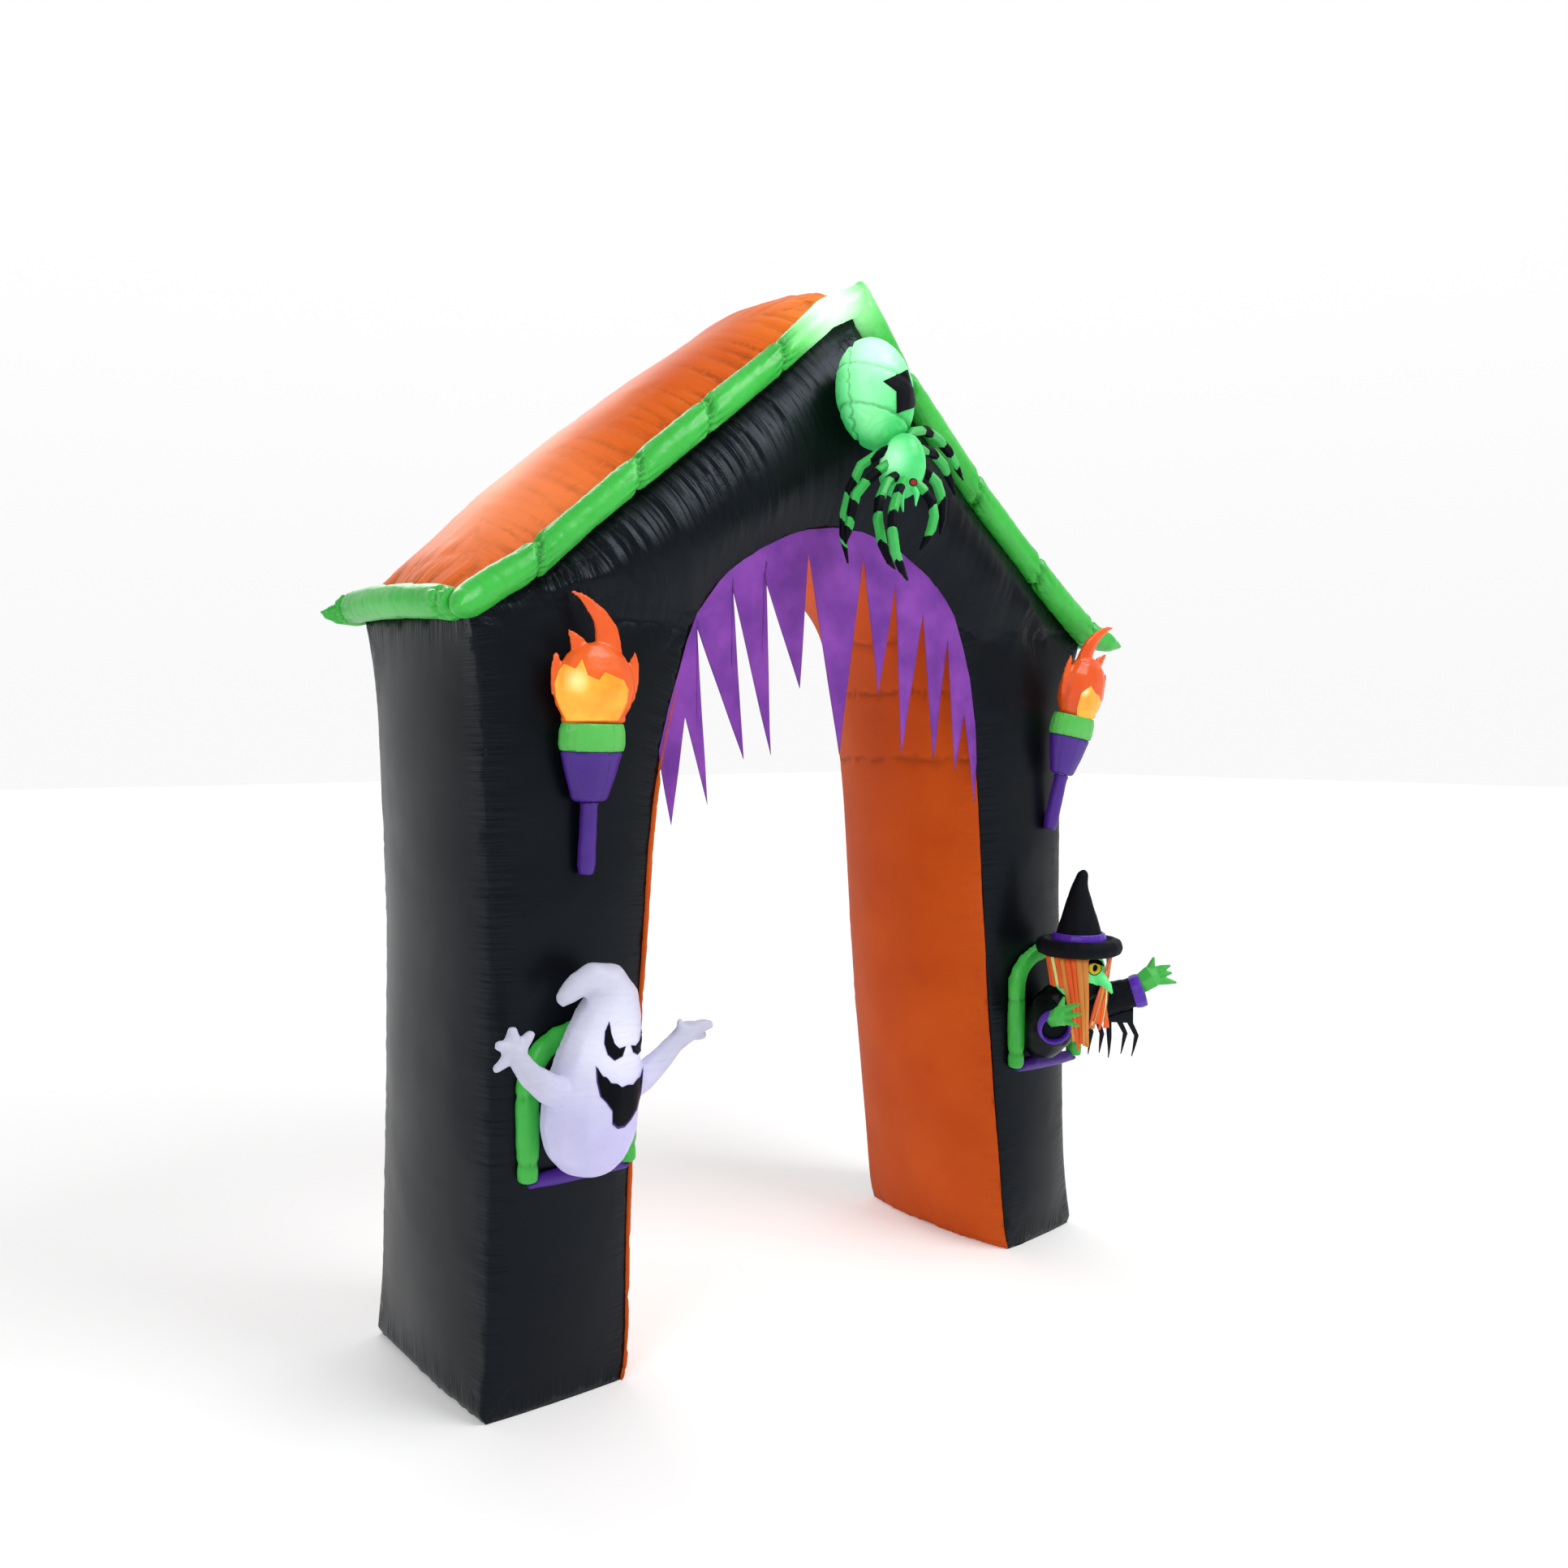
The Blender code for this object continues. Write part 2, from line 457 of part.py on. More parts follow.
def combine(target, other, operation, keep_other=False):
    """Boolean of two meshes; the other one is the cutter, and goes afterwards."""
    modifier = target.modifiers.new("Cut", "BOOLEAN")
    modifier.operation = operation
    modifier.solver = "EXACT"
    modifier.object = other
    target = bake(target)
    if not keep_other:
        bpy.data.objects.remove(other, do_unlink=True)
    return target


def grown(obj, by=GAP):
    """Copy of a piece with its skin moved outwards, to cut a neighbour's seat with."""
    mesh = obj.data.copy()
    for vertex, normal in [(v, v.normal.copy()) for v in mesh.vertices]:
        vertex.co += normal * by
    cutter = link(bpy.data.objects.new(obj.name + "_seat", mesh), "cutters")
    cutter.hide_render = True
    cutter.display_type = "WIRE"
    return cutter


def seat_on(obj, *neighbours):
    """Cut a piece back to a hair's breadth from the skins that carry it."""
    for neighbour in neighbours:
        obj = combine(obj, grown(neighbour), "DIFFERENCE")
    return obj


def fuse(name, pieces):
    """Union of several closed meshes into one piece."""
    first = pieces[0]
    for other in pieces[1:]:
        first = combine(first, other, "UNION")
    first.name = name
    return first


def slice_off(obj, point, normal):
    """Cut an end off square to the normal and close it with a flat face."""
    bm = bmesh.new()
    bm.from_mesh(obj.data)
    geometry = list(bm.verts) + list(bm.edges) + list(bm.faces)
    cut = bmesh.ops.bisect_plane(bm, geom=geometry, plane_co=point, plane_no=normal,
                                 clear_outer=True)
    rim = [item for item in cut["geom_cut"] if isinstance(item, bmesh.types.BMEdge)]
    bmesh.ops.holes_fill(bm, edges=rim)
    bm.to_mesh(obj.data)
    bm.free()
    tidy_mesh(obj.data)
    return obj


def paint(obj, material):
    obj.data.materials.clear()
    obj.data.materials.append(bpy.data.materials[material])
    obj.data.shade_smooth()
    obj.data.set_sharp_from_angle(angle=math.radians(SHARP_ANGLE))
    return obj


def cosine_steps(count):
    """Fractions from 0 to 1 that are close together near both ends."""
    return [(1.0 - math.cos(math.pi * step / count)) / 2.0 for step in range(count + 1)]


def swell(fraction):
    """Height of a filled panel across its width, 0 at its seams and 1 in the middle."""
    return 1.0 - abs(2.0 * fraction - 1.0) ** EDGE_POWER


def cell_sheet(name, grid, thickness_vector, present):
    """Sheet built of the cells of a grid that are present, with its edges closed."""
    rows, columns = len(grid), len(grid[0])
    bm = bmesh.new()
    front = [[bm.verts.new(point) for point in row] for row in grid]
    back = [[bm.verts.new(point + thickness_vector(i, j)) for j, point in enumerate(row)]
            for i, row in enumerate(grid)]

    def here(i, j):
        return 0 <= i < rows - 1 and 0 <= j < columns - 1 and present(i, j)

    for i in range(rows - 1):
        for j in range(columns - 1):
            if not here(i, j):
                continue
            corners = ((i, j), (i, j + 1), (i + 1, j + 1), (i + 1, j))
            bm.faces.new([front[a][b] for a, b in corners])
            bm.faces.new([back[a][b] for a, b in reversed(corners)])
            beyond = ((i - 1, j), (i, j + 1), (i + 1, j), (i, j - 1))
            for side, neighbour in enumerate(beyond):
                if here(*neighbour):
                    continue
                (a, b), (c, d) = corners[side], corners[(side + 1) % 4]
                bm.faces.new([front[c][d], front[a][b], back[a][b], back[c][d]])
    loose = [vertex for vertex in bm.verts if not vertex.link_faces]
    bmesh.ops.delete(bm, geom=loose, context="VERTS")
    mesh = bpy.data.meshes.new(name)
    bm.to_mesh(mesh)
    bm.free()
    tidy_mesh(mesh)
    return link(bpy.data.objects.new(name, mesh))


# ---- stations along the arch ---------------------------------------------------------
def outward_normals(points):
    """Unit normals on the upper side of an (x, z) polyline that runs left to right,
    lengthened at a bend so that both of its runs move out by the same amount."""
    normals = []
    for index in range(len(points)):
        before = points[max(index - 1, 0)]
        here = points[index]
        after = points[min(index + 1, len(points) - 1)]
        first = (here - before) if index else (after - here)
        second = (after - here) if index < len(points) - 1 else first
        first_normal = Vector((-first.y, first.x)).normalized()
        second_normal = Vector((-second.y, second.x)).normalized()
        middle = (first_normal + second_normal).normalized()
        normals.append(middle / max(middle.dot(first_normal), SMALLEST_DOT))
    return normals


def stations():
    """Rows of the whole arch from the left foot over the ridge to the right foot."""
    legs = row_dicts(LEG_COLUMNS, LEG_ROWS)
    gable = row_dicts(GABLE_COLUMNS, GABLE_ROWS)
    trim_line = [Vector((row["trim_x"], row["trim_z"])) for row in gable]
    normals = outward_normals(trim_line)
    result = []
    for row in legs:
        result.append({"inner": Vector((row["left_in"], row["z"])),
                       "outer": Vector((row["left_out"], row["z"])), "turn": 0.0, "lift": 0.0,
                       "draw": row["draw"], "side": row["side"], "crown": row["crown"],
                       "roof": None})
    for row, trim, normal in zip(gable, trim_line, normals):
        result.append({"inner": Vector((row["arch_x"], row["arch_z"])),
                       "outer": trim - normal * TRIM_RISE, "turn": 0.0, "lift": row["lift"],
                       "draw": row["draw"], "side": 0.0, "crown": row["crown"],
                       "roof": row["roof"], "trim": trim, "normal": normal})
    for row in reversed(legs):
        result.append({"inner": Vector((row["right_in"], row["z"])),
                       "outer": Vector((row["right_out"], row["z"])), "turn": row["turn"],
                       "lift": 0.0, "draw": row["draw"], "side": row["side"],
                       "crown": row["crown"], "roof": None})
    return result


def body_ring(row):
    """One closed section of the black body, front panel first."""
    inner, outer = row["inner"], row["outer"]
    across = outer - inner
    ring = []
    for t in cosine_steps(FACE_STEPS):
        spot = inner + across * t
        ring.append((spot.x, row["turn"] * t - row["draw"] * swell(t), spot.y))
    side_push = across.normalized() * row["side"]
    for v in cosine_steps(SIDE_STEPS)[1:-1]:
        spot = outer + side_push * swell(v)
        ring.append((spot.x, row["turn"] + (DEPTH - row["turn"]) * v, spot.y + row["lift"] * v))
    for t in reversed(cosine_steps(FACE_STEPS)):
        spot = inner + across * t
        ring.append((spot.x, DEPTH + row["draw"] * swell(t), spot.y + row["lift"] * t))
    return ring


def domed_ring(seam, normal, height, lift, under):
    """D-shaped section: laid on the body at the depths "under", domed away from it."""
    foot = seam + normal.normalized() * SEAT
    ring = [(foot.x, DEPTH * v, foot.y + lift * v) for v in under]
    for v in reversed(cosine_steps(DOME_STEPS)[1:-1]):
        spot = foot + normal.normalized() * height * swell(v)
        ring.append((spot.x, DEPTH * v, spot.y + lift * v))
    return ring


# ---- the arch ------------------------------------------------------------------------
def make_body(rows):
    return paint(from_rings("arch_body", [body_ring(row) for row in rows]), "black_nylon")


def make_soffit(rows):
    inner = [row["inner"] for row in rows]
    rings = []
    for row, normal in zip(rows, outward_normals(inner)):
        rings.append(domed_ring(row["inner"], level_at_floor(row, -normal), row["crown"],
                                0.0, (0.0, 1.0)))
    return paint(from_rings("soffit_panel", rings), "orange_nylon")


def level_at_floor(row, normal):
    """Keep the foot's section level, so that it stands flat on the floor."""
    if row["inner"].y > 0.0:
        return normal
    return Vector((math.copysign(1.0, normal.x), 0.0))


def make_roof(rows):
    slopes = [row for row in rows if row["roof"] is not None]
    under = cosine_steps(SIDE_STEPS)
    rings = [domed_ring(row["outer"], row["normal"], row["roof"], row["lift"], under)
             for row in slopes]
    return paint(from_rings("roof_panel", rings), "orange_nylon")


def slope_chain(rows, side, face):
    """Centre line of a sloping trim from its ear up past the apex."""
    slopes = [row for row in rows if row["roof"] is not None]
    if side == "right":
        slopes = list(reversed(slopes))
    y = -TRIM_OUT if face == "front" else DEPTH + TRIM_OUT
    chain = []
    for index, row in enumerate(slopes[:(len(slopes) + 1) // 2]):
        pinch = PINCH if index in PINCHED_ROWS else 1.0
        lift = row["lift"] if face == "back" else 0.0
        chain.append((row["trim"].x, y, row["trim"].y + lift, TRIM_RADIUS * pinch))
    below, apex = Vector(chain[-2][:3]), Vector(chain[-1][:3])
    beyond = apex + (apex - below).normalized() * (2.0 * TRIM_RADIUS)
    chain.append((*beyond, TRIM_RADIUS))
    return chain


def make_slope_trims(rows, body, roof):
    trims = {}
    ears = {row["trim"]: row for row in row_dicts(EAR_COLUMNS, EAR_ROWS)}
    for face in ("front", "back"):
        for side, outward in (("left", 1.0), ("right", -1.0)):
            name = f"{face}_{side}"
            chain = slope_chain(rows, side, face)
            ear = Vector([ears[name][axis] for axis in "xyz"])
            corner = Vector(chain[0][:3])
            neck = corner.lerp(ear, EAR_NECK)
            lead = [(*ear, TRIM_RADIUS * EAR_TIP_SIZE), (*neck, TRIM_RADIUS * EAR_NECK_SIZE)]
            trim = tube("trim_" + name, lead + chain, resolution=3)
            plane = Vector((APEX_X - outward * SEAT / 2.0, 0.0, 0.0))
            trim = slice_off(trim, plane, Vector((outward, 0.0, 0.0)))
            trim = seat_on(trim, body, roof)
            trims[name] = paint(trim, "green_nylon")
    return trims


def make_eave_trims(rows, body, roof, trims):
    slopes = [row for row in rows if row["roof"] is not None]
    for side, row, outward in (("left", slopes[0], -1.0), ("right", slopes[-1], 1.0)):
        corner = row["trim"]
        chain = []
        for place in row_dicts(EAVE_COLUMNS, EAVE_ROWS):
            share = place["share"]
            chain.append((corner.x + outward * (EAVE_OUT + place["bow"]), DEPTH * share,
                          corner.y + row["lift"] * share + place["rise"],
                          EAVE_RADIUS * place["size"]))
        trim = tube("trim_eave_" + side, chain, resolution=3)
        trim = seat_on(trim, body, roof, trims["front_" + side], trims["back_" + side])
        paint(trim, "green_nylon")


def make_valance():
    rows = row_dicts(VALANCE_COLUMNS, VALANCE_ROWS)
    grid = []
    for level in VALANCE_LEVELS:
        line = []
        for row in rows:
            top = Vector((row["top_x"], VALANCE_Y, row["top_z"]))
            hem = Vector((row["hem_x"], VALANCE_Y, row["hem_z"]))
            spot = top.lerp(hem, level)
            spot.y -= row["sway"] * level
            line.append(spot)
        grid.append(line)
    sheet = cell_sheet("valance", grid, lambda i, j: Vector((0.0, VALANCE_THICKNESS, 0.0)),
                       lambda i, j: True)
    return paint(sheet, "purple_sheer")


# ---- torches -------------------------------------------------------------------------
def make_flame(name, mirror, width, turn):
    """Flame on a flat foot; "turn" leans it over that foot, in degrees."""
    half_width, half_height, rise = FLAME_BULB
    pieces = [ellipsoid(name, (0.0, 0.0, FLAME_FOOT + rise),
                        (half_width, half_width * BULB_FLAT, half_height), 12, 8)]
    for index, tongue in enumerate(FLAME_TONGUES):
        chain = [(mirror * x, 0.0, FLAME_FOOT + z, radius) for x, z, radius in tongue]
        pieces.append(tube(f"{name}_tongue_{index}", chain, 1, FLAME_FLAT))
    flame = fuse(name, pieces)
    foot = Vector((0.0, 0.0, FLAME_FOOT))
    flame.data.transform(Matrix.Translation(foot)
                         @ Matrix.Rotation(math.radians(turn), 4, "Y")
                         @ Matrix.Diagonal((width, 1.0, 1.0, 1.0))
                         @ Matrix.Translation(-foot))
    return slice_off(flame, foot, Vector((0.0, 0.0, -1.0)))


def make_torches(body):
    for row in row_dicts(TORCH_COLUMNS, TORCH_ROWS):
        start = f"torch_{row['side']}_"
        parts = []
        for piece, profile, colour in (("handle", HANDLE_PROFILE, "purple_nylon"),
                                       ("cup", CUP_PROFILE, "purple_nylon"),
                                       ("rim", RIM_PROFILE, "green_nylon")):
            obj = turned(start + piece, profile, steps=16)
            if piece != "handle":
                obj.scale = (1.0, TORCH_FLAT, 1.0)
            parts.append((obj, colour))
        flame = make_flame(start + "flame", row["mirror"], row["width"], row["turn"])
        parts.append((flame, "flame_nylon"))
        for obj, colour in parts:
            obj.location = (row["x"], row["y"], row["z"])
            obj.rotation_euler = Euler((math.radians(row["tilt"]), math.radians(row["lean"]), 0.0))
            paint(seat_on(bake(obj), body), colour)


# ---- windows -------------------------------------------------------------------------
def make_windows(body):
    frames = {}
    for row in row_dicts(WINDOW_COLUMNS, WINDOW_ROWS):
        half = row["half_width"]
        rise = row["top_z"] - row["spring_z"]
        left, right = row["x"] - half, row["x"] + half
        chain = [(left, WINDOW_Y, row["foot_z"], FRAME_RADIUS * FRAME_FOOT_SIZE),
                 (left, WINDOW_Y, (row["foot_z"] + row["spring_z"]) / 2.0, FRAME_RADIUS)]
        for step in range(WINDOW_STEPS + 1):
            angle = math.pi * (1.0 - step / WINDOW_STEPS)
            chain.append((row["x"] + half * math.cos(angle), WINDOW_Y,
                          row["spring_z"] + rise * math.sin(angle), FRAME_RADIUS))
        chain += [(right, WINDOW_Y, chain[1][2], FRAME_RADIUS),
                  (right, WINDOW_Y, row["foot_z"], FRAME_RADIUS * FRAME_FOOT_SIZE)]
        frame = seat_on(tube(f"window_{row['side']}_frame", chain, resolution=3), body)
        frames[row["side"]] = paint(frame, "green_nylon")
        sill_z = row["foot_z"]
        sill_chain = [(left, WINDOW_Y, sill_z, SILL_RADIUS * SILL_END_SIZE),
                      (row["x"] - half * 0.5, WINDOW_Y, sill_z, SILL_RADIUS),
                      (row["x"] + half * 0.5, WINDOW_Y, sill_z, SILL_RADIUS),
                      (right, WINDOW_Y, sill_z, SILL_RADIUS * SILL_END_SIZE)]
        sill = tube(f"window_{row['side']}_sill", sill_chain, resolution=3)
        paint(seat_on(sill, body, frame), "purple_nylon")
    return frames


# ---- figures -------------------------------------------------------------------------
def make_limb(name, chains, resolution=1):
    pieces = [tube(f"{name}_{index}", chain, resolution) for index, chain in enumerate(chains)]
    return fuse(name, pieces)


def make_ghost(body, frame, sill):
    ghost = tube("ghost_body", GHOST_ROWS, resolution=4)
    ghost = paint(seat_on(ghost, body, frame, sill), "white_nylon")
    for side, chains in (("left", GHOST_LEFT_ARM), ("right", GHOST_RIGHT_ARM)):
        arm = make_limb("ghost_arm_" + side, chains, resolution=2)
        paint(seat_on(arm, ghost), "white_nylon")


def make_spider(body):
    abdomen = ellipsoid("spider_abdomen", *ABDOMEN, segments=18, rings=12, lean=ABDOMEN_LEAN)
    abdomen = paint(seat_on(abdomen, body), "green_nylon")
    head = ellipsoid("spider_head", *THORAX, segments=14, rings=10, tilt=THORAX_TILT)
    head = paint(seat_on(head, abdomen), "green_nylon")
    legs = []
    for index, path in enumerate(SPIDER_LEGS):
        sizes = [1.0] * (len(path) - len(LEG_TAPER)) + list(LEG_TAPER)
        chain = [(*point, LEG_RADIUS * size) for point, size in zip(path, sizes)]
        leg = tube(f"spider_leg_{index + 1}", chain, resolution=1)
        legs.append(paint(seat_on(leg, head, abdomen, *legs[-1:]), "green_nylon"))
    for side, nearest, *path in SPIDER_FANGS:
        chain = [(*point, radius) for point, radius in zip(path, FANG_RADII)]
        fang = tube("spider_fang_" + side, chain, resolution=1)
        paint(seat_on(fang, head, legs[nearest]), "green_nylon")


def make_cuff(name, sleeve_chain):
    """Padded ring round the mouth of a sleeve, square to the sleeve's last run."""
    before, end = Vector(sleeve_chain[-2][:3]), Vector(sleeve_chain[-1][:3])
    direction = (end - before).normalized()
    aside = direction.cross(Vector((0.0, 0.0, 1.0))).normalized()
    upward = aside.cross(direction)
    chain = []
    for step in range(CUFF_STEPS):
        angle = 2.0 * math.pi * step / CUFF_STEPS
        spot = end + (aside * math.cos(angle) + upward * CUFF_TALL * math.sin(angle)) * CUFF_MAJOR
        chain.append(spot)
    curve = bpy.data.curves.new(name, "CURVE")
    curve.dimensions = "3D"
    curve.bevel_depth = CUFF_MINOR
    curve.bevel_resolution = 1
    spline = curve.splines.new("POLY")
    spline.points.add(CUFF_STEPS - 1)
    spline.use_cyclic_u = True
    for point, spot in zip(spline.points, chain):
        point.co = (*spot, 1.0)
    return bake(link(bpy.data.objects.new(name, curve)))


def make_hair(row, brim):
    """Strips of ribbon that hang from under the brim and gather towards the front."""
    centre = Vector((WITCH_HEAD[0][0], WITCH_HEAD[0][1], 0.0))
    strips = row["strips"]
    foot_a, foot_b = (Vector((*row[key], 0.0)) for key in ("foot_a", "foot_b"))
    grid = []
    turn = row["last_angle"] - row["first_angle"]
    for level in HAIR_LEVELS:
        line = []
        for column in range(2 * strips):
            gap = RIBBON_GAP * min(level * 2.0, 1.0)
            place = (column // 2 + (column % 2) * (1.0 - gap) + gap / 2.0) / strips
            angle = math.radians(row["first_angle"] + turn * place)
            around = centre + Vector((math.cos(angle), math.sin(angle), 0.0)) * HAIR_RADIUS
            spot = around.lerp(foot_a.lerp(foot_b, place), level)
            spot.z = HAIR_TOP + (row["foot_z"] - HAIR_TOP) * level
            line.append(spot)
        grid.append(line)

    def outward(i, j):
        spot = grid[i][j]
        return Vector((spot.x - centre.x, spot.y - centre.y, 0.0)).normalized() * HAIR_THICKNESS

    def present(i, j):
        return i == 0 or (j % 2 == 0 and (i < SHORT_CELLS or j >= 2 * row["short"]))

    sheet = cell_sheet("witch_hair_" + row["side"], grid, outward, present)
    return paint(seat_on(sheet, brim), "hair_ribbon")


def make_sleeve_fringe(sleeve, cuff):
    """Dagged hem under the right sleeve: a narrow strip with five pointed tails."""
    start, end = Vector((*FRINGE_START, 0.0)), Vector((*FRINGE_END, 0.0))
    along = end - start
    length = along.length
    rows = row_dicts(FRINGE_COLUMNS, FRINGE_ROWS)
    grid = []
    for level, (narrow, pushed) in enumerate(FRINGE_LEVELS):
        line = []
        for row in rows:
            height = (FRINGE_TOP, FRINGE_TOP - FRINGE_STRIP, row["knee_z"], row["tip_z"])[level]
            push = row["push"] * pushed
            for way in (-1.0, 1.0):
                share = row["centre"] + (way * FRINGE_HALF * narrow + push) / length
                spot = start + along * share
                spot.z = height
                line.append(spot)
        grid.append(line)
    across = Vector((along.y, -along.x, 0.0)).normalized() * FRINGE_THICKNESS
    sheet = cell_sheet("witch_sleeve_fringe", grid, lambda i, j: across,
                       lambda i, j: i == 0 or j % 2 == 0)
    return paint(seat_on(sheet, sleeve, cuff), "black_nylon")


def make_witch(body, frame, sill):
    torso = tube("witch_torso", WITCH_TORSO, resolution=4)
    torso = paint(seat_on(torso, body, frame, sill), "black_nylon")
    head = fuse("witch_head", [ellipsoid("witch_head", *WITCH_HEAD, segments=14, rings=8),
                               tube("nose", WITCH_NOSE)])
    head = paint(seat_on(head, torso), "green_nylon")
    brim = turned("witch_hat_brim", BRIM_PROFILE, HAT_CENTRE, steps=18)
    brim = paint(seat_on(brim, head), "black_nylon")
    cone = paint(tube("witch_hat", HAT_CHAIN, resolution=3), "black_nylon")
    band = turned("witch_hat_band", BAND_PROFILE, HAT_CENTRE, steps=16)
    paint(seat_on(band, cone), "purple_nylon")
    for side, chain, hand in (("left", WITCH_LEFT_SLEEVE, WITCH_LEFT_HAND),
                              ("right", WITCH_RIGHT_SLEEVE, WITCH_RIGHT_HAND)):
        sleeve = tube("witch_sleeve_" + side, chain, resolution=3)
        sleeve = paint(seat_on(sleeve, torso, body), "black_nylon")
        cuff = paint(seat_on(make_cuff("witch_cuff_" + side, chain), sleeve), "purple_nylon")
        palm = make_limb("witch_hand_" + side, hand)
        paint(seat_on(palm, sleeve, cuff), "green_nylon")
    for row in row_dicts(HAIR_COLUMNS, HAIR_ROWS):
        make_hair(row, brim)
    make_sleeve_fringe(sleeve, cuff)


# ---- the whole arch --------------------------------------------------------------------
def carry_all():
    """Hang every piece on one empty, which sets the arch's origin."""
    origin = link(bpy.data.objects.new("arch_origin", None))
    for obj in bpy.data.collections["inflatable_arch"].objects:
        if obj is not origin:
            obj.parent = origin
    origin.location = ORIGIN_SHIFT


def main():
    clear_scene()
    make_materials()
    rows = stations()
    body = make_body(rows)
    make_soffit(rows)
    roof = make_roof(rows)
    trims = make_slope_trims(rows, body, roof)
    make_eave_trims(rows, body, roof, trims)
    make_valance()
    make_torches(body)
    frames = make_windows(body)
    make_ghost(body, frames["left"], bpy.data.objects["window_left_sill"])
    make_spider(body)
    make_witch(body, frames["right"], bpy.data.objects["window_right_sill"])
    carry_all()


main()
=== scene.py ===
import heapq
import math
from contextlib import contextmanager

import bmesh
import bpy
import numpy as np
from mathutils import Euler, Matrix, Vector, noise
from mathutils.bvhtree import BVHTree
from mathutils.kdtree import KDTree


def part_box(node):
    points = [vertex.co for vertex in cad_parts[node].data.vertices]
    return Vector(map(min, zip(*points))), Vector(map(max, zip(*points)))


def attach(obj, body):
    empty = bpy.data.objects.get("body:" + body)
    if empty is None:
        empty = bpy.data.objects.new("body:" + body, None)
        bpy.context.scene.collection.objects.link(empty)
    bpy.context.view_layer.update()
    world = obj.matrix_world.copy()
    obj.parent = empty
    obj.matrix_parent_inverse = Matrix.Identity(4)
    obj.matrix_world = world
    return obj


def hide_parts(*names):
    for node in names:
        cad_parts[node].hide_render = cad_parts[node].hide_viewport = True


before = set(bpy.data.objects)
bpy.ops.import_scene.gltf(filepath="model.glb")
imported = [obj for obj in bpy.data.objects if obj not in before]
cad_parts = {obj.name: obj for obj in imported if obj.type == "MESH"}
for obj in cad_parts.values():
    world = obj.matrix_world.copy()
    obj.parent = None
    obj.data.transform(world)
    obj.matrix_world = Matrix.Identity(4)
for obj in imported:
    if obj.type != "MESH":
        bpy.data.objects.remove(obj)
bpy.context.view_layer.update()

# ---- camera --------------------------------------------------------------------------
PHOTO_SIDE = 1932           # the photograph's frame, in pixels
FOCAL = 1688.0              # focal length in the same pixels
SENSOR = 36.0
CAMERA_AT = Vector((-2.3214, -2.9239, 1.53))
CAMERA_YAW = 38.0           # degrees to the right of +Y
CAMERA_DIP = 2.07           # degrees below the horizon
CAMERA_TURN = Euler((math.radians(90.0 - CAMERA_DIP), 0.0, math.radians(-CAMERA_YAW)))
FAR_AWAY = 100.0            # the camera sees nothing past this

# ---- cloth ---------------------------------------------------------------------------
WELD = 1e-5
SHRINK, GROW = 0.5, -0.53   # the two steps of a smoothing round
SEAM_ANGLE = math.radians(28.0)     # between two facets that meet in a seam
SEAM_TURN = math.radians(50.0)      # a seam that turns more than this keeps its corner
CUT_ROUNDS = 9
WELD_ROUNDS = 6
EVEN_SHARE = 0.6            # an edge shorter than this share of a facet is welded
LAST_ROUNDS = 2             # rounds of smoothing once a panel has all its facets
# Painted shade in creases: rounds over which the crease depth is averaged, and the depth at
# which that shade is darkest
CREASE_SHADE_ROUNDS = 3
CREASE_SHADE_DEPTH = 0.0018       # a crease this deep is as dark as one gets
FOOT = 0.004                # how far above the floor the feet's edges still count as flat

# Panels with sharp seams: CAD node, material, longest side of a facet, rounds of
# smoothing, depth of the seams, height of the puckers beside them, how far these reach,
# how closely they follow one another, and how full the panel is.
PANEL_LEVELS = 2            # how often a panel is subdivided
PANEL_COLUMNS = ("node", "material", "facet", "rounds", "groove", "pucker", "reach", "pitch",
                 "fill")
PANEL_ROWS = (
    ("arch_body", "black", 0.098, 10, 0.0016, 0.0024, 0.050, 0.044, 0.8),
    ("soffit_panel", "soffit", 0.098, 8, 0.0016, 0.0020, 0.050, 0.030, 0.8),
    ("roof_panel", "roof", 0.066, 10, 0.0015, 0.0075, 0.110, 0.046, 0.8),
)
# Round pieces: CAD node ({} is left and right in turn), material, size of a facet, rounds
# of smoothing, how often the piece is then subdivided, and how full it is.
ROUND_COLUMNS = ("node", "material", "facet", "rounds", "levels", "fill")
ROUND_ROWS = (
    ("trim_front_left", "trim", 0.010, 14, 1, 0.9),
    ("trim_front_right", "trim", 0.011, 12, 1, 0.9),
    ("trim_back_{}", "trim", 0.013, 8, 1, 0.9),
    ("trim_eave_left", "trim", 0.010, 10, 1, 0.9),
    ("trim_eave_right", "trim", 0.012, 8, 1, 0.9),
    ("torch_{}_handle", "purple", 0.004, 8, 0, 0.8),
    ("torch_{}_cup", "purple", 0.004, 6, 0, 0.8),
    ("torch_{}_rim", "rim", 0.004, 6, 0, 0.8),
    ("torch_{}_flame", "flame", 0.004, 12, 0, 0.8),
    ("window_{}_frame", "trim", 0.009, 8, 1, 0.9),
    ("window_{}_sill", "purple", 0.006, 8, 0, 0.8),
    ("ghost_body", "ghost", 0.009, 26, 0, 0.9),
    ("spider_abdomen", "spider", 0.009, 12, 1, 0.9),
    ("spider_head", "spider", 0.006, 10, 0, 0.9),
    ("spider_fang_{}", "spider", 0.002, 3, 0, 0.8),
    ("witch_torso", "black", 0.008, 12, 0, 0.7),
    ("witch_head", "face", 0.0035, 5, 0, 0.8),
    ("witch_hat_brim", "felt", 0.005, 12, 0, 0.8),
    ("witch_hat", "felt", 0.007, 12, 1, 0.8),
    ("witch_hat_band", "band", 0.003, 8, 0, 0.6),
    ("witch_sleeve_{}", "felt", 0.006, 8, 0, 0.6),
    ("witch_cuff_{}", "band", 0.003, 8, 0, 0.6),
    ("witch_hand_{}", "skin", 0.0022, 3, 0, 0.7),
)
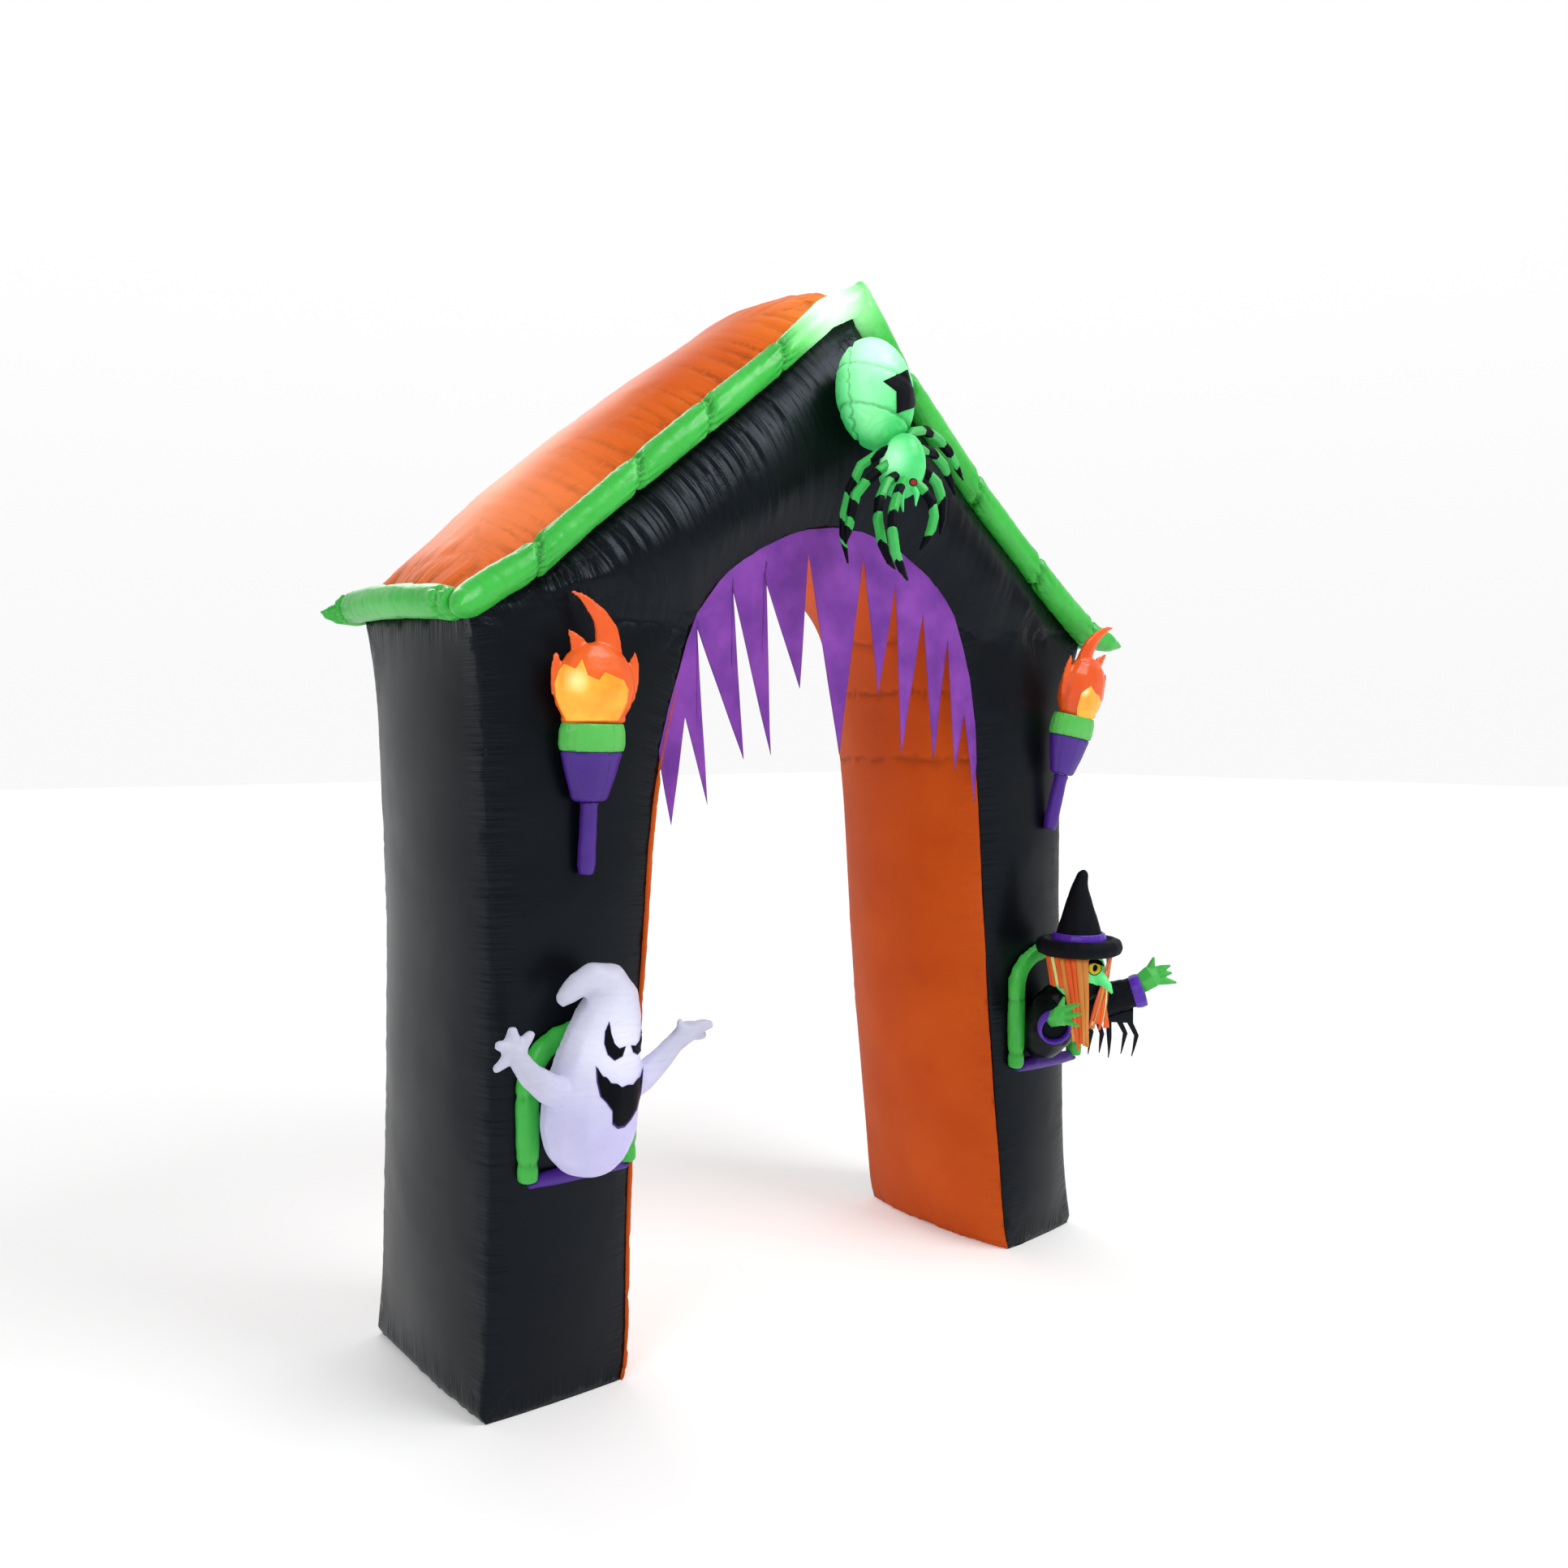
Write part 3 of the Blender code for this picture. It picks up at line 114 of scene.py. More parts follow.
# Pieces sewn on to a filled piece so that the two make one skin, the size of its facets,
# and the rounds of smoothing before and after they are joined
SEWN_ON = {"ghost_body": ("ghost_arm_left", "ghost_arm_right")}
SEWN_FACET = 0.0045
SEWN_ROUNDS = (3, 9)


# ---- helpers -------------------------------------------------------------------------
def row_dicts(columns, rows):
    """One dict for each row, or two, left and right, where its first value has {}."""
    return [dict(zip(columns, (row[0].format(side), *row[1:])))
            for row in rows
            for side in (("left", "right") if "{}" in row[0] else ("",))]


def clamp(value):
    return min(1.0, max(0.0, value))


def bell(value):
    """Smooth bump: 1 at 0, and next to nothing from 2 on either side."""
    return math.exp(-value ** 2)


def pixel_ray(pixel):
    """Start and direction of the camera's ray through a pixel of the photograph."""
    u, v = pixel
    half = PHOTO_SIDE / 2.0
    direction = Vector(((u - half) / FOCAL, (half - v) / FOCAL, -1.0))
    direction.rotate(CAMERA_TURN)
    return CAMERA_AT, direction.normalized()


def on_front(pixel, y):
    """Place where a pixel's ray meets the upright plane at depth y."""
    start, direction = pixel_ray(pixel)
    return start + direction * ((y - start.y) / direction.y)


def link(obj):
    bpy.context.scene.collection.objects.link(obj)
    return obj


@contextmanager
def editing(mesh):
    """The mesh as a BMesh, which is written back at the end."""
    bm = bmesh.new()
    bm.from_mesh(mesh)
    yield bm
    bm.to_mesh(mesh)
    bm.free()


def node_copy(node, name):
    """Welded copy of a CAD node's mesh as a new object."""
    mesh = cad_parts[node].data.copy()
    with editing(mesh) as bm:
        bmesh.ops.remove_doubles(bm, verts=bm.verts, dist=WELD)
        bmesh.ops.recalc_face_normals(bm, faces=bm.faces)
    mesh.materials.clear()
    return link(bpy.data.objects.new(name, mesh))


def object_from(bm, name):
    mesh = bpy.data.meshes.new(name)
    bm.to_mesh(mesh)
    bm.free()
    return link(bpy.data.objects.new(name, mesh))


def modify(obj, kind, **settings):
    """Apply one modifier to an object."""
    modifier = obj.modifiers.new(kind, kind)
    for key, value in settings.items():
        setattr(modifier, key, value)
    bpy.context.view_layer.update()
    evaluated = obj.evaluated_get(bpy.context.evaluated_depsgraph_get())
    mesh = bpy.data.meshes.new_from_object(evaluated)
    obj.modifiers.clear()
    old = obj.data
    obj.data = mesh
    bpy.data.meshes.remove(old)


# ---- skins ---------------------------------------------------------------------------
def drop_doubled(bm):
    """Delete faces that lie on one another, in pairs."""
    twins = {}
    for face in bm.faces:
        twins.setdefault(frozenset(face.verts), []).append(face)
    doubled = [face for faces in twins.values() for face in faces[len(faces) % 2:]
               if len(faces) > 1]
    if doubled:
        bmesh.ops.delete(bm, geom=doubled, context="FACES")


def cut_finely(bm, longest):
    """Cut a mesh's faces until no edge is longer than a length."""
    for _ in range(CUT_ROUNDS):
        long_edges = [edge for edge in bm.edges if edge.calc_length() > longest]
        if not long_edges:
            break
        bmesh.ops.subdivide_edges(bm, edges=long_edges, cuts=1)
        bmesh.ops.triangulate(bm, faces=[face for face in bm.faces if len(face.verts) > 3])
        drop_doubled(bm)


def even_out(bm, shortest):
    """Weld the ends of short edges, off the seams, so that the faces are of one size."""
    for _ in range(WELD_ROUNDS):
        seam = {vertex for edge in bm.edges
                if len(edge.link_faces) != 2 or edge.calc_face_angle(0.0) > SEAM_ANGLE
                for vertex in edge.verts}
        targets = {}
        busy = set()
        for length, index in sorted((edge.calc_length(), edge.index) for edge in bm.edges):
            if length > shortest:
                break
            bm.edges.ensure_lookup_table()
            a, b = bm.edges[index].verts
            if b not in seam:
                a, b = b, a
            beside_a = {edge.other_vert(a) for edge in a.link_edges}
            beside_b = {edge.other_vert(b) for edge in b.link_edges}
            around = beside_a | {a, b}
            if a in seam or around & busy or len(beside_a & beside_b) != 2:
                continue
            busy |= around
            if b not in seam:
                b.co = (a.co + b.co) / 2.0
            targets[a] = b
        if not targets:
            break
        bmesh.ops.weld_verts(bm, targetmap=targets)
        drop_doubled(bm)
        bm.edges.index_update()
    bmesh.ops.triangulate(bm, faces=[face for face in bm.faces if len(face.verts) > 3])
    bmesh.ops.beautify_fill(bm, faces=bm.faces, method="ANGLE", edges=[
        edge for edge in bm.edges
        if len(edge.link_faces) == 2 and edge.calc_face_angle(0.0) < SEAM_ANGLE])


def seam_lines(obj):
    """For each vertex where panels meet, its two neighbours along the seam (or itself)."""
    bm = bmesh.new()
    bm.from_mesh(obj.data)
    bm.verts.index_update()
    lines = {}
    for edge in bm.edges:
        if len(edge.link_faces) == 2 and edge.calc_face_angle(0.0) > SEAM_ANGLE:
            for vertex in edge.verts:
                lines.setdefault(vertex.index, []).append(edge.other_vert(vertex).index)
    result = {}
    for index, others in lines.items():
        result[index] = (index, index)
        if len(others) == 2:
            here = obj.data.vertices[index].co
            one, two = (obj.data.vertices[other].co - here for other in others)
            if one.angle(-two, 0.0) < SEAM_TURN:
                result[index] = tuple(others)
    bm.free()
    return result


def tree_of(spots):
    tree = KDTree(len(spots))
    for index, spot in enumerate(spots):
        tree.insert(spot, index)
    tree.balance()
    return tree


def coordinates(mesh):
    flat = np.empty(len(mesh.vertices) * 3, np.float32)
    mesh.vertices.foreach_get("co", flat)
    return flat.reshape(-1, 3).astype(float)


def put_coordinates(mesh, spots):
    mesh.vertices.foreach_set("co", spots.astype(np.float32).ravel())
    mesh.update()


def neighbour_mean(mesh):
    """Function that gives, for each vertex, the mean value of the vertices next to it."""
    count = len(mesh.vertices)
    ends = np.empty(len(mesh.edges) * 2, np.int32)
    mesh.edges.foreach_get("vertices", ends)
    a, b = ends[0::2], ends[1::2]
    degree = np.maximum(np.bincount(a, minlength=count) + np.bincount(b, minlength=count), 1)

    def mean(values):
        return (np.bincount(a, values[b], count) + np.bincount(b, values[a], count)) / degree

    return mean


def soften(mesh, rounds, lines):
    """Smooth a mesh without shrinking it; a seam is smoothed along its own line."""
    spots = coordinates(mesh)
    seam = np.array(sorted(lines), np.int32)
    one = np.array([lines[index][0] for index in seam], np.int32)
    two = np.array([lines[index][1] for index in seam], np.int32)
    beside = neighbour_mean(mesh)
    for step in range(2 * rounds):
        mean = np.stack([beside(spots[:, axis]) for axis in range(3)], 1)
        if len(seam):
            mean[seam] = (spots[one] + spots[two]) / 2.0
        spots += (mean - spots) * (GROW if step % 2 else SHRINK)
    put_coordinates(mesh, spots)


def voxel_skin(obj, facet, rounds):
    modify(obj, "REMESH", mode="VOXEL", voxel_size=facet)
    soften(obj.data, rounds, {})


def subdivide(obj, levels, creased=()):
    """Smooth subdivision that keeps creased edges sharp."""
    if creased:
        crease = obj.data.attributes.new("crease_edge", "FLOAT", "EDGE")
        for edge in obj.data.edges:
            if edge.vertices[0] in creased and edge.vertices[1] in creased:
                crease.data[edge.index].value = 1.0
    modify(obj, "SUBSURF", levels=levels, render_levels=levels)


def panel_skin(row):
    """Fine closed skin over a CAD node with sharp seams, and the places of its seams."""
    obj = node_copy(row["node"], row["node"] + "_skin")
    with editing(obj.data) as bm:
        cut_finely(bm, row["facet"])
    with editing(obj.data) as bm:
        even_out(bm, row["facet"] * EVEN_SHARE)
    lines = seam_lines(obj)
    soften(obj.data, row["rounds"], lines)
    subdivide(obj, PANEL_LEVELS, lines)
    if row["node"] == "arch_body":
        refine(obj, in_gable)
    lines = seam_lines(obj)
    soften(obj.data, LAST_ROUNDS, lines)
    spots = obj.data.vertices
    return obj, [tuple(spots[place].co.copy() for place in (index, one, two))
                 for index, (one, two) in sorted(lines.items())]


def round_skin(row):
    """Fine closed skin over a CAD node and what is sewn on to it, smooth all over."""
    obj = node_copy(row["node"], row["node"] + "_skin")
    voxel_skin(obj, row["facet"], row["rounds"])
    if row["node"] in SEWN_ON:
        with editing(obj.data) as bm:
            for node in SEWN_ON[row["node"]]:
                arm = node_copy(node, node + "_skin")
                voxel_skin(arm, SEWN_FACET, SEWN_ROUNDS[0])
                bm.from_mesh(arm.data)
                bpy.data.objects.remove(arm)
        voxel_skin(obj, SEWN_FACET, SEWN_ROUNDS[1])
    if row["levels"]:
        subdivide(obj, row["levels"])
    return obj


def refine(obj, chosen):
    """Cut each face at a chosen place into four."""
    with editing(obj.data) as bm:
        edges = {edge for face in bm.faces if chosen(face.calc_center_median())
                 for edge in face.edges}
        bmesh.ops.subdivide_edges(bm, edges=list(edges), cuts=1, use_grid_fill=True)
        bmesh.ops.triangulate(bm, faces=[face for face in bm.faces if len(face.verts) > 4])


def in_gable(place):
    return place.z > GABLE_FOOT_Z and place.y < GABLE_FRONT_Y


# ---- relief --------------------------------------------------------------------------
def keep_values(obj, name, values, kind):
    """Store one value (or vector) for each vertex, for the materials to read."""
    layer = obj.data.attributes.new(name, kind, "POINT")
    flat = np.array(values, np.float32).ravel()
    layer.data.foreach_set("value" if kind == "FLOAT" else "vector", flat)


def closest_between(place, one, two):
    """The point nearest to a place on the line between two others."""
    way = two - one
    if way.length_squared < WELD * WELD:
        return one
    return one + way * clamp((place - one).dot(way) / way.length_squared)


def seam_finder(seams):
    """Function that gives the nearest point on the seams and how far away it is."""
    tree = tree_of([spot for spot, _, _ in seams])

    def nearest(place):
        here, one, two = seams[tree.find(place)[1]]
        points = (closest_between(place, here, one), closest_between(place, here, two))
        away = [(point - place).length for point in points]
        return points[away[1] < away[0]], min(away)

    return nearest


def mark_seams(obj, seams, reach):
    """Tell the material the nearest place on a seam and how near it is."""
    nearest = seam_finder(seams)
    found = [nearest(vertex.co) for vertex in obj.data.vertices]
    keep_values(obj, "seam_place", [spot for spot, _ in found], "FLOAT_VECTOR")
    keep_values(obj, "seam_depth", [bell(distance / reach) for _, distance in found], "FLOAT")


def push(obj, *reliefs):
    """Move each vertex along its normal by the sum of relief(place, normal), in metres.

    How deep it then lies in a crease is kept for the material, which paints a darker shade
    there."""
    mesh = obj.data
    places = [vertex.co.copy() for vertex in mesh.vertices]
    normals = [vertex.normal.copy() for vertex in mesh.vertices]
    heights = []
    for vertex, place, normal in zip(mesh.vertices, places, normals):
        heights.append(sum(relief(place, normal) for relief in reliefs))
        vertex.co = place + normal * heights[-1]
    mesh.update()
    heights = np.array(heights)
    around = heights
    beside = neighbour_mean(mesh)
    for _ in range(CREASE_SHADE_ROUNDS):
        around = beside(around)
    # Painted shade in creases: how far each vertex lies below its neighbours, for the material.
    keep_values(obj, "crease_shade", np.clip((around - heights) / CREASE_SHADE_DEPTH, 0.0, 1.0), "FLOAT")


def fold(value, gain=2.2):
    """Rounded pad between sharp creases, from a noise value: -0.5 in a crease, 0.5 on a pad."""
    return clamp(abs(value) * gain) - 0.5


PUCKER_START = 0.008        # a pucker rises to its full height over this distance
PUCKER_AT_SEAM = 0.3        # share of its height that a pucker has at the seam
FINE_PUCKER, FINE_PITCH = 0.3, 0.6      # shares of the height and pitch of the main puckers
PUCKER_DRIFT = 0.25


def seam_relief(seams, row):
    """Height of the cloth beside its seams: a groove, and puckers that die away from it."""
    nearest = seam_finder(seams)
    groove, pucker, reach, pitch = (row[key] for key in ("groove", "pucker", "reach", "pitch"))

    def height(place, normal):
        spot, distance = nearest(place)
        if distance > reach * 4.0:
            return 0.0
        drift = place * (PUCKER_DRIFT / reach)
        crease = fold(noise.noise(spot / pitch + drift))
        fine = fold(noise.noise(spot / (pitch * FINE_PITCH) + drift * 2.0))
        rise = PUCKER_AT_SEAM + (1.0 - PUCKER_AT_SEAM) * (1.0 - bell(distance / PUCKER_START))
        beside = pucker * rise * math.exp(-distance / reach) * (crease + FINE_PUCKER * fine)
        return beside - groove * bell(distance / (groove * 3.0))

    return height


SINK_DEPTH = 0.007
SINK_NEAR = 0.010           # how near the cover is, and how far from a seam it sinks fully
SINK_FACING = 0.7           # least cosine between the skin's normal and the way to the cover


def sink_under(cover, seams):
    """Draw the skin in where another CAD node covers it, so it can't show through."""
    bm = bmesh.new()
    bm.from_mesh(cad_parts[cover].data)
    cover_tree = BVHTree.FromBMesh(bm)
    bm.free()
    seam_tree = tree_of([spot for spot, _, _ in seams])

    def height(place, normal):
        spot = cover_tree.find_nearest(place, SINK_NEAR)[0]
        if spot is None:
            return 0.0
        way = spot - place
        if abs(way.dot(normal)) < SINK_FACING * way.length:
            return 0.0
        return -SINK_DEPTH * clamp(seam_tree.find(place)[2] / SINK_NEAR)

    return height


def level_feet(obj):
    """Keep the feet flat on the floor."""
    for vertex in obj.data.vertices:
        if vertex.co.z < FOOT:
            vertex.co.z = 0.0
    obj.data.update()


def dress(obj, material, *nodes):
    """Give a piece its material and its place on the frame."""
    obj.data.materials.clear()
    obj.data.materials.append(MATERIALS[material])
    obj.data.shade_smooth()
    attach(obj, "root")
    if nodes:
        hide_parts(*nodes)


# ---- materials -----------------------------------------------------------------------
def rgb(text):
    """Linear colour of a web colour such as 'ff8000'."""
    parts = [int(text[index:index + 2], 16) / 255.0 for index in (0, 2, 4)]
    return tuple(part / 12.92 if part <= 0.04045 else ((part + 0.055) / 1.055) ** 2.4
                 for part in parts)


# Creases too fine for the mesh: attribute they follow, their pitch and their depth
FINE_CREASES = (("seam", 0.012, 0.0030), ("fold", 0.013, 0.0050))
CREASE_DRIFT = 0.05
CRUMPLE_DEPTH = 0.004
MOTTLE_RANGE = (0.32, 0.72)
# The weave: scale and direction of its two sets of threads, its depth and strength
THREADS = ((90.0, "Z"), (64.0, "DIAGONAL"))
THREAD_DEPTH, THREAD_STRENGTH = 0.0003, 0.12


def feed(tree, node, inputs):
    """Set a node's inputs; a value may be the output of another node."""
    for key, value in inputs.items():
        if isinstance(value, bpy.types.NodeSocket):
            tree.links.new(value, node.inputs[key])
        else:
            node.inputs[key].default_value = value


def node_adder(tree):
    """Function that adds a shader node and gives its outputs.

    It takes the node's first inputs, then its settings and other inputs by name, where _
    stands for a space."""
    def add(kind, *first, **others):
        node = tree.nodes.new("ShaderNode" + kind)
        inputs = dict(enumerate(first))
        for key, value in others.items():
            if hasattr(node, key):
                setattr(node, key, value)
            else:
                inputs[key.replace("_", " ")] = value
        feed(tree, node, inputs)
        return node.outputs

    return add


def ramp(add, value, start, end, low=0.0, high=1.0):
    """A value that goes smoothly from low to high while another goes from start to end."""
    return add("MapRange", value, interpolation_type="SMOOTHSTEP", From_Min=start,
               From_Max=end, To_Min=low, To_Max=high)["Result"]


def nylon(name, colour, light, roughness, specular, glow, crumple, crumple_size, mottle=4.0,
          painted_lights=(), stretch=(1.0, 1.0, 1.0), tint=(1.0, 1.0, 1.0), creased=1.0, shade=0.45):
    """Thin nylon: two shades of its colour, crumples, a fine weave and a soft glow painted into
    its emission, which stands in for light.

    mottle is how closely the two shades alternate, and hot a row of spots where the emission
    paints on more light, a painted glow or a painted highlight, in place of lamps behind the
    cloth: (place, radius, strength, web colour) each. stretch squeezes the crumples and tint
    colours the shine. creased is how deep the creases beside the seams are, and shade how
    much darker the shade painted into a crease is than the cloth beside it."""
    material = bpy.data.materials.new(name)
    material.use_nodes = True
    tree = material.node_tree
    add = node_adder(tree)

    place = add("TexCoord")["Object"]
    cloud = add("TexNoise", Vector=place, Scale=mottle, Detail=3.0, Roughness=0.55)["Fac"]
    share = add("MapRange", cloud, From_Min=MOTTLE_RANGE[0],
                From_Max=MOTTLE_RANGE[1])["Result"]
    cloth = add("Mix", data_type="RGBA", Factor=share, A=(*rgb(colour), 1.0),
                B=(*rgb(light), 1.0))["Result"]
    # Painted shade: colour and emission are darker where the mesh lies in a crease.
    crease_shade = add("Attribute", attribute_name="crease_shade")["Fac"]
    crease_shade_factor = add("MapRange", crease_shade, To_Min=1.0, To_Max=1.0 - shade)["Result"]

    def dimmed(socket):
        return add("VectorMath", socket, operation="SCALE", Scale=crease_shade_factor)["Vector"]

    squeezed = add("Mapping", place, Scale=stretch)["Vector"]
    creases = add("TexNoise", Vector=squeezed, Scale=1.0 / crumple_size, Detail=4.0,
                  Roughness=0.6, Distortion=0.6)["Fac"]
    relief = add("Bump", Height=creases, Strength=crumple, Distance=CRUMPLE_DEPTH)["Normal"]
    drift = add("VectorMath", place, operation="SCALE", Scale=CREASE_DRIFT)["Vector"]
    for kind, pitch, depth in FINE_CREASES:
        spot = add("Attribute", attribute_name=kind + "_place")["Vector"]
        near = add("Attribute", attribute_name=kind + "_depth")["Fac"]
        moved = add("VectorMath", spot, drift, operation="ADD")["Vector"]
        ridges = add("TexNoise", Vector=moved, Scale=1.0 / pitch)["Fac"]
        height = add("Math", ridges, near, operation="MULTIPLY")["Value"]
        relief = add("Bump", Height=height, Strength=1.0, Distance=depth * creased,
                     Normal=relief)["Normal"]
    threads = [add("TexWave", place, Scale=scale, Distortion=0.4, bands_direction=way)["Fac"]
               for scale, way in THREADS]
    relief = add("Bump", Height=add("Math", *threads, operation="ADD")["Value"],
                 Strength=THREAD_STRENGTH, Distance=THREAD_DEPTH, Normal=relief)["Normal"]

    # Painted light: each spot in hot paints a glow or a highlight into the emission.
    painted_light_colour, strength = cloth, glow
    for lamp, radius, power, web in painted_lights:
        away = add("VectorMath", place, lamp, operation="DISTANCE")["Value"]
        near = ramp(add, away, radius, 0.0)
        painted_light_colour = add("Mix", data_type="RGBA", Factor=near, A=painted_light_colour, B=(*rgb(web), 1.0))["Result"]
        strength = add("MapRange", near, To_Min=strength, To_Max=power)["Result"]
    feed(tree, tree.nodes["Principled BSDF"], {
        "Base Color": dimmed(cloth), "Roughness": roughness, "Specular IOR Level": specular,
        "Specular Tint": (*tint, 1.0), "Normal": relief, "Emission Color": dimmed(painted_light_colour),
        "Emission Strength": strength})
    return material


# Centre of a painted glow on the roof near its apex
APEX = (0.0606, -0.165, 2.66)
# Centre of a painted glow on the soffit near the top of the opening
SOFFIT_PAINTED_LIGHT = (0.15, 0.20, 2.05)
# Centre of a painted highlight: a pale band on the roof's lower left
ROOF_PAINTED_HIGHLIGHT = (-0.86, 0.10, 2.06)
# Centre of a painted glow that whitens the trims near the apex
TRIM_PAINTED_LIGHT = (-0.06, -0.22, 2.64)
# Centres of painted light in the ghost: a lavender glow low down and a whiter one on its face
# (the face's place also sets where its creases are deepest)
GHOST_PAINTED_LIGHT = (-0.79, -0.34, 0.66)
GHOST_FACE = on_front((768, 1290), -0.42)
ABDOMEN_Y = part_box("spider_abdomen")[0].y
# Painted highlights on the spider's abdomen: whiter spots in its emission, brightest towards
# the top
ABDOMEN_PAINTED_LIGHTS = tuple((on_front(pixel, ABDOMEN_Y), radius, strength, "c8ffd8")
                      for pixel, radius, strength in (((1085, 410), 0.22, 1.5),
                                                      ((1062, 500), 0.15, 0.85),
                                                      ((1075, 545), 0.12, 1.15),
                                                      ((1100, 565), 0.06, 0.7)))
LEFT_FLAME_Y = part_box("torch_left_flame")[0].y
RIGHT_FLAME_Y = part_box("torch_right_flame")[0].y
# Painted highlights: a whiter spot in each flame heart's emission
FLAME_PAINTED_HIGHLIGHTS = ((on_front((712, 838), LEFT_FLAME_Y), 0.042, 0.82, "ffecc4"),
               (on_front((1339, 852), RIGHT_FLAME_Y), 0.026, 0.9, "fff0d0"))

# Materials: the name used here, its full name, the web colours of its two shades, its
# roughness, specular level and glow (a painted glow in the emission, which stands in for
# light), and the strength and size of its crumples
MATERIAL_ROWS = (
    ("black", "black_nylon", "050609", "080a0e", 0.35, 0.20, 0.00, 0.03, 0.060),
    ("felt", "black_cloth", "050508", "0c0e14", 0.66, 0.15, 0.00, 0.35, 0.025),
    ("roof", "roof_nylon", "d4560e", "e06818", 0.50, 0.22, 0.05, 0.10, 0.050),
    ("soffit", "soffit_nylon", "bb4a0e", "c65414", 0.56, 0.12, 0.06, 0.20, 0.050),
    ("trim", "trim_nylon", "32ac3a", "42c04a", 0.34, 0.40, 0.05, 0.26, 0.020),
    ("rim", "rim_nylon", "46a843", "5cba58", 0.38, 0.35, 0.12, 0.25, 0.020),
    ("purple", "purple_nylon", "3d1a78", "4a228c", 0.42, 0.35, 0.10, 0.22, 0.020),
    ("band", "band_satin", "4a22a0", "5a2cb4", 0.34, 0.35, 0.05, 0.35, 0.012),
    ("flame", "flame_nylon", "d4460a", "e8661a", 0.34, 0.45, 0.12, 0.35, 0.020),
    ("flame_heart", "flame_heart", "e88a1c", "f2ac34", 0.34, 0.45, 0.34, 0.20, 0.020),
    ("ghost", "ghost_nylon", "b4b4c8", "c8c8dc", 0.42, 0.35, 0.07, 0.40, 0.028),
    ("spider", "spider_nylon", "2cb858", "54d07c", 0.34, 0.35, 0.28, 0.30, 0.020),
    # face: a strong painted glow makes the face lighter than the hands, standing in for light
    # on it
    ("face", "face_nylon", "44c468", "70dc92", 0.34, 0.35, 0.55, 0.30, 0.014),
    ("leg_green", "leg_green", "2ba344", "46bd60", 0.36, 0.35, 0.10, 0.30, 0.010),
    ("skin", "skin_nylon", "2ba034", "48b850", 0.38, 0.35, 0.10, 0.30, 0.012),
    ("sheer", "sheer_purple", "632889", "823ea4", 0.46, 0.32, 0.10, 1.00, 0.050),
    ("hair", "hair_ribbon", "d8480e", "ea6620", 0.30, 0.35, 0.06, 0.25, 0.010),
    ("hair_amber", "hair_amber", "c87428", "d89040", 0.28, 0.35, 0.08, 0.25, 0.010),
    # The pale ribbons: a painted highlight, lighter than the hair's own colour
    ("hair_painted_highlight", "hair_painted_highlight", "b8d070", "dcec9c", 0.28, 0.35, 0.15, 0.25, 0.010),
    ("ink", "ink_black", "040406", "08080c", 0.55, 0.12, 0.00, 0.15, 0.030),
    ("ink_edge", "ink_edge", "3a2a6a", "4a388a", 0.45, 0.35, 0.20, 0.25, 0.030),
    ("eye_red", "eye_red", "8c1810", "a82416", 0.35, 0.35, 0.05, 0.25, 0.030),
    ("eye_yellow", "eye_yellow", "c8b01c", "e6d038", 0.35, 0.35, 0.20, 0.25, 0.030),
)
LENGTHWISE = {"stretch": (1.0, 1.0, 0.25)}
# hot lists the spots of painted light in a material's emission: painted glows and painted
# highlights, not real lamps.
MORE = {
    "black": {"stretch": (1.0, 1.0, 1.6), "tint": (0.70, 0.84, 1.0)},
    "felt": {"tint": (0.7, 0.85, 1.0)},
    "roof": {"tint": (1.0, 0.90, 0.8), "creased": 1.7,
             "painted_lights": ((APEX, 0.42, 0.40, "ffb030"), (ROOF_PAINTED_HIGHLIGHT, 0.50, 0.34, "ffc49c"))},
    "soffit": {"stretch": (1.0, 1.0, 1.8), "shade": 0.3,
               "painted_lights": ((SOFFIT_PAINTED_LIGHT, 0.60, 0.26, "e0520e"),)},
    "trim": {"shade": 0.38, "painted_lights": ((TRIM_PAINTED_LIGHT, 0.25, 1.5, "dcffe0"),)},
    "flame_heart": {"mottle": 14.0, "painted_lights": FLAME_PAINTED_HIGHLIGHTS},
    "ghost": {"stretch": (1.0, 1.0, 1.7), "shade": 0.25,
              "painted_lights": ((GHOST_PAINTED_LIGHT, 0.34, 0.34, "a894ff"), (GHOST_FACE, 0.22, 0.42, "f2f2ff"))},
    "spider": {"mottle": 8.0, "shade": 0.42, "painted_lights": ABDOMEN_PAINTED_LIGHTS},
    "sheer": {"mottle": 10.0, "stretch": (1.6, 1.0, 0.5)},
    "hair": LENGTHWISE,
    "hair_amber": LENGTHWISE,
    "hair_painted_highlight": LENGTHWISE,
    "ink": {"tint": (0.7, 0.8, 1.0)},
}
MATERIALS = {key: nylon(*row, **MORE.get(key, {})) for key, *row in MATERIAL_ROWS}


# ---- folds of the big panels ---------------------------------------------------------
GABLE_FRONT_Y = -0.10       # the gable's front is before this
GABLE_FOOT_Z = 1.80         # its folds start above this,
GABLE_RISE = 0.08           # and have their full height this much higher
GABLE_FOLD = 0.0070         # height of the folds
GABLE_FINE = 0.35           # share of it that the finer folds have
GABLE_REACH = 0.26          # how far they run from the trim
GABLE_PITCH = 0.031
GABLE_ENDS, GABLE_SPREAD = 0.35, 0.25   # strength at a slope's ends, width of its middle
RIGHT_SLOPE = 0.55          # strength of the right slope's folds
GABLE_DRAWN = 0.015         # how far the cloth is drawn in along the left trim,
DRAWN_WIDTH = 0.09          # how far down from the trim,
DRAWN_END = 0.10            # and how near the apex
FOLD_SLANT, FOLD_CURVE = 0.15, 1.1
TOP_SEAM_Z = 1.83           # seam across the top of each leg
TOP_SEAM_X = 0.44           # it runs outwards from here
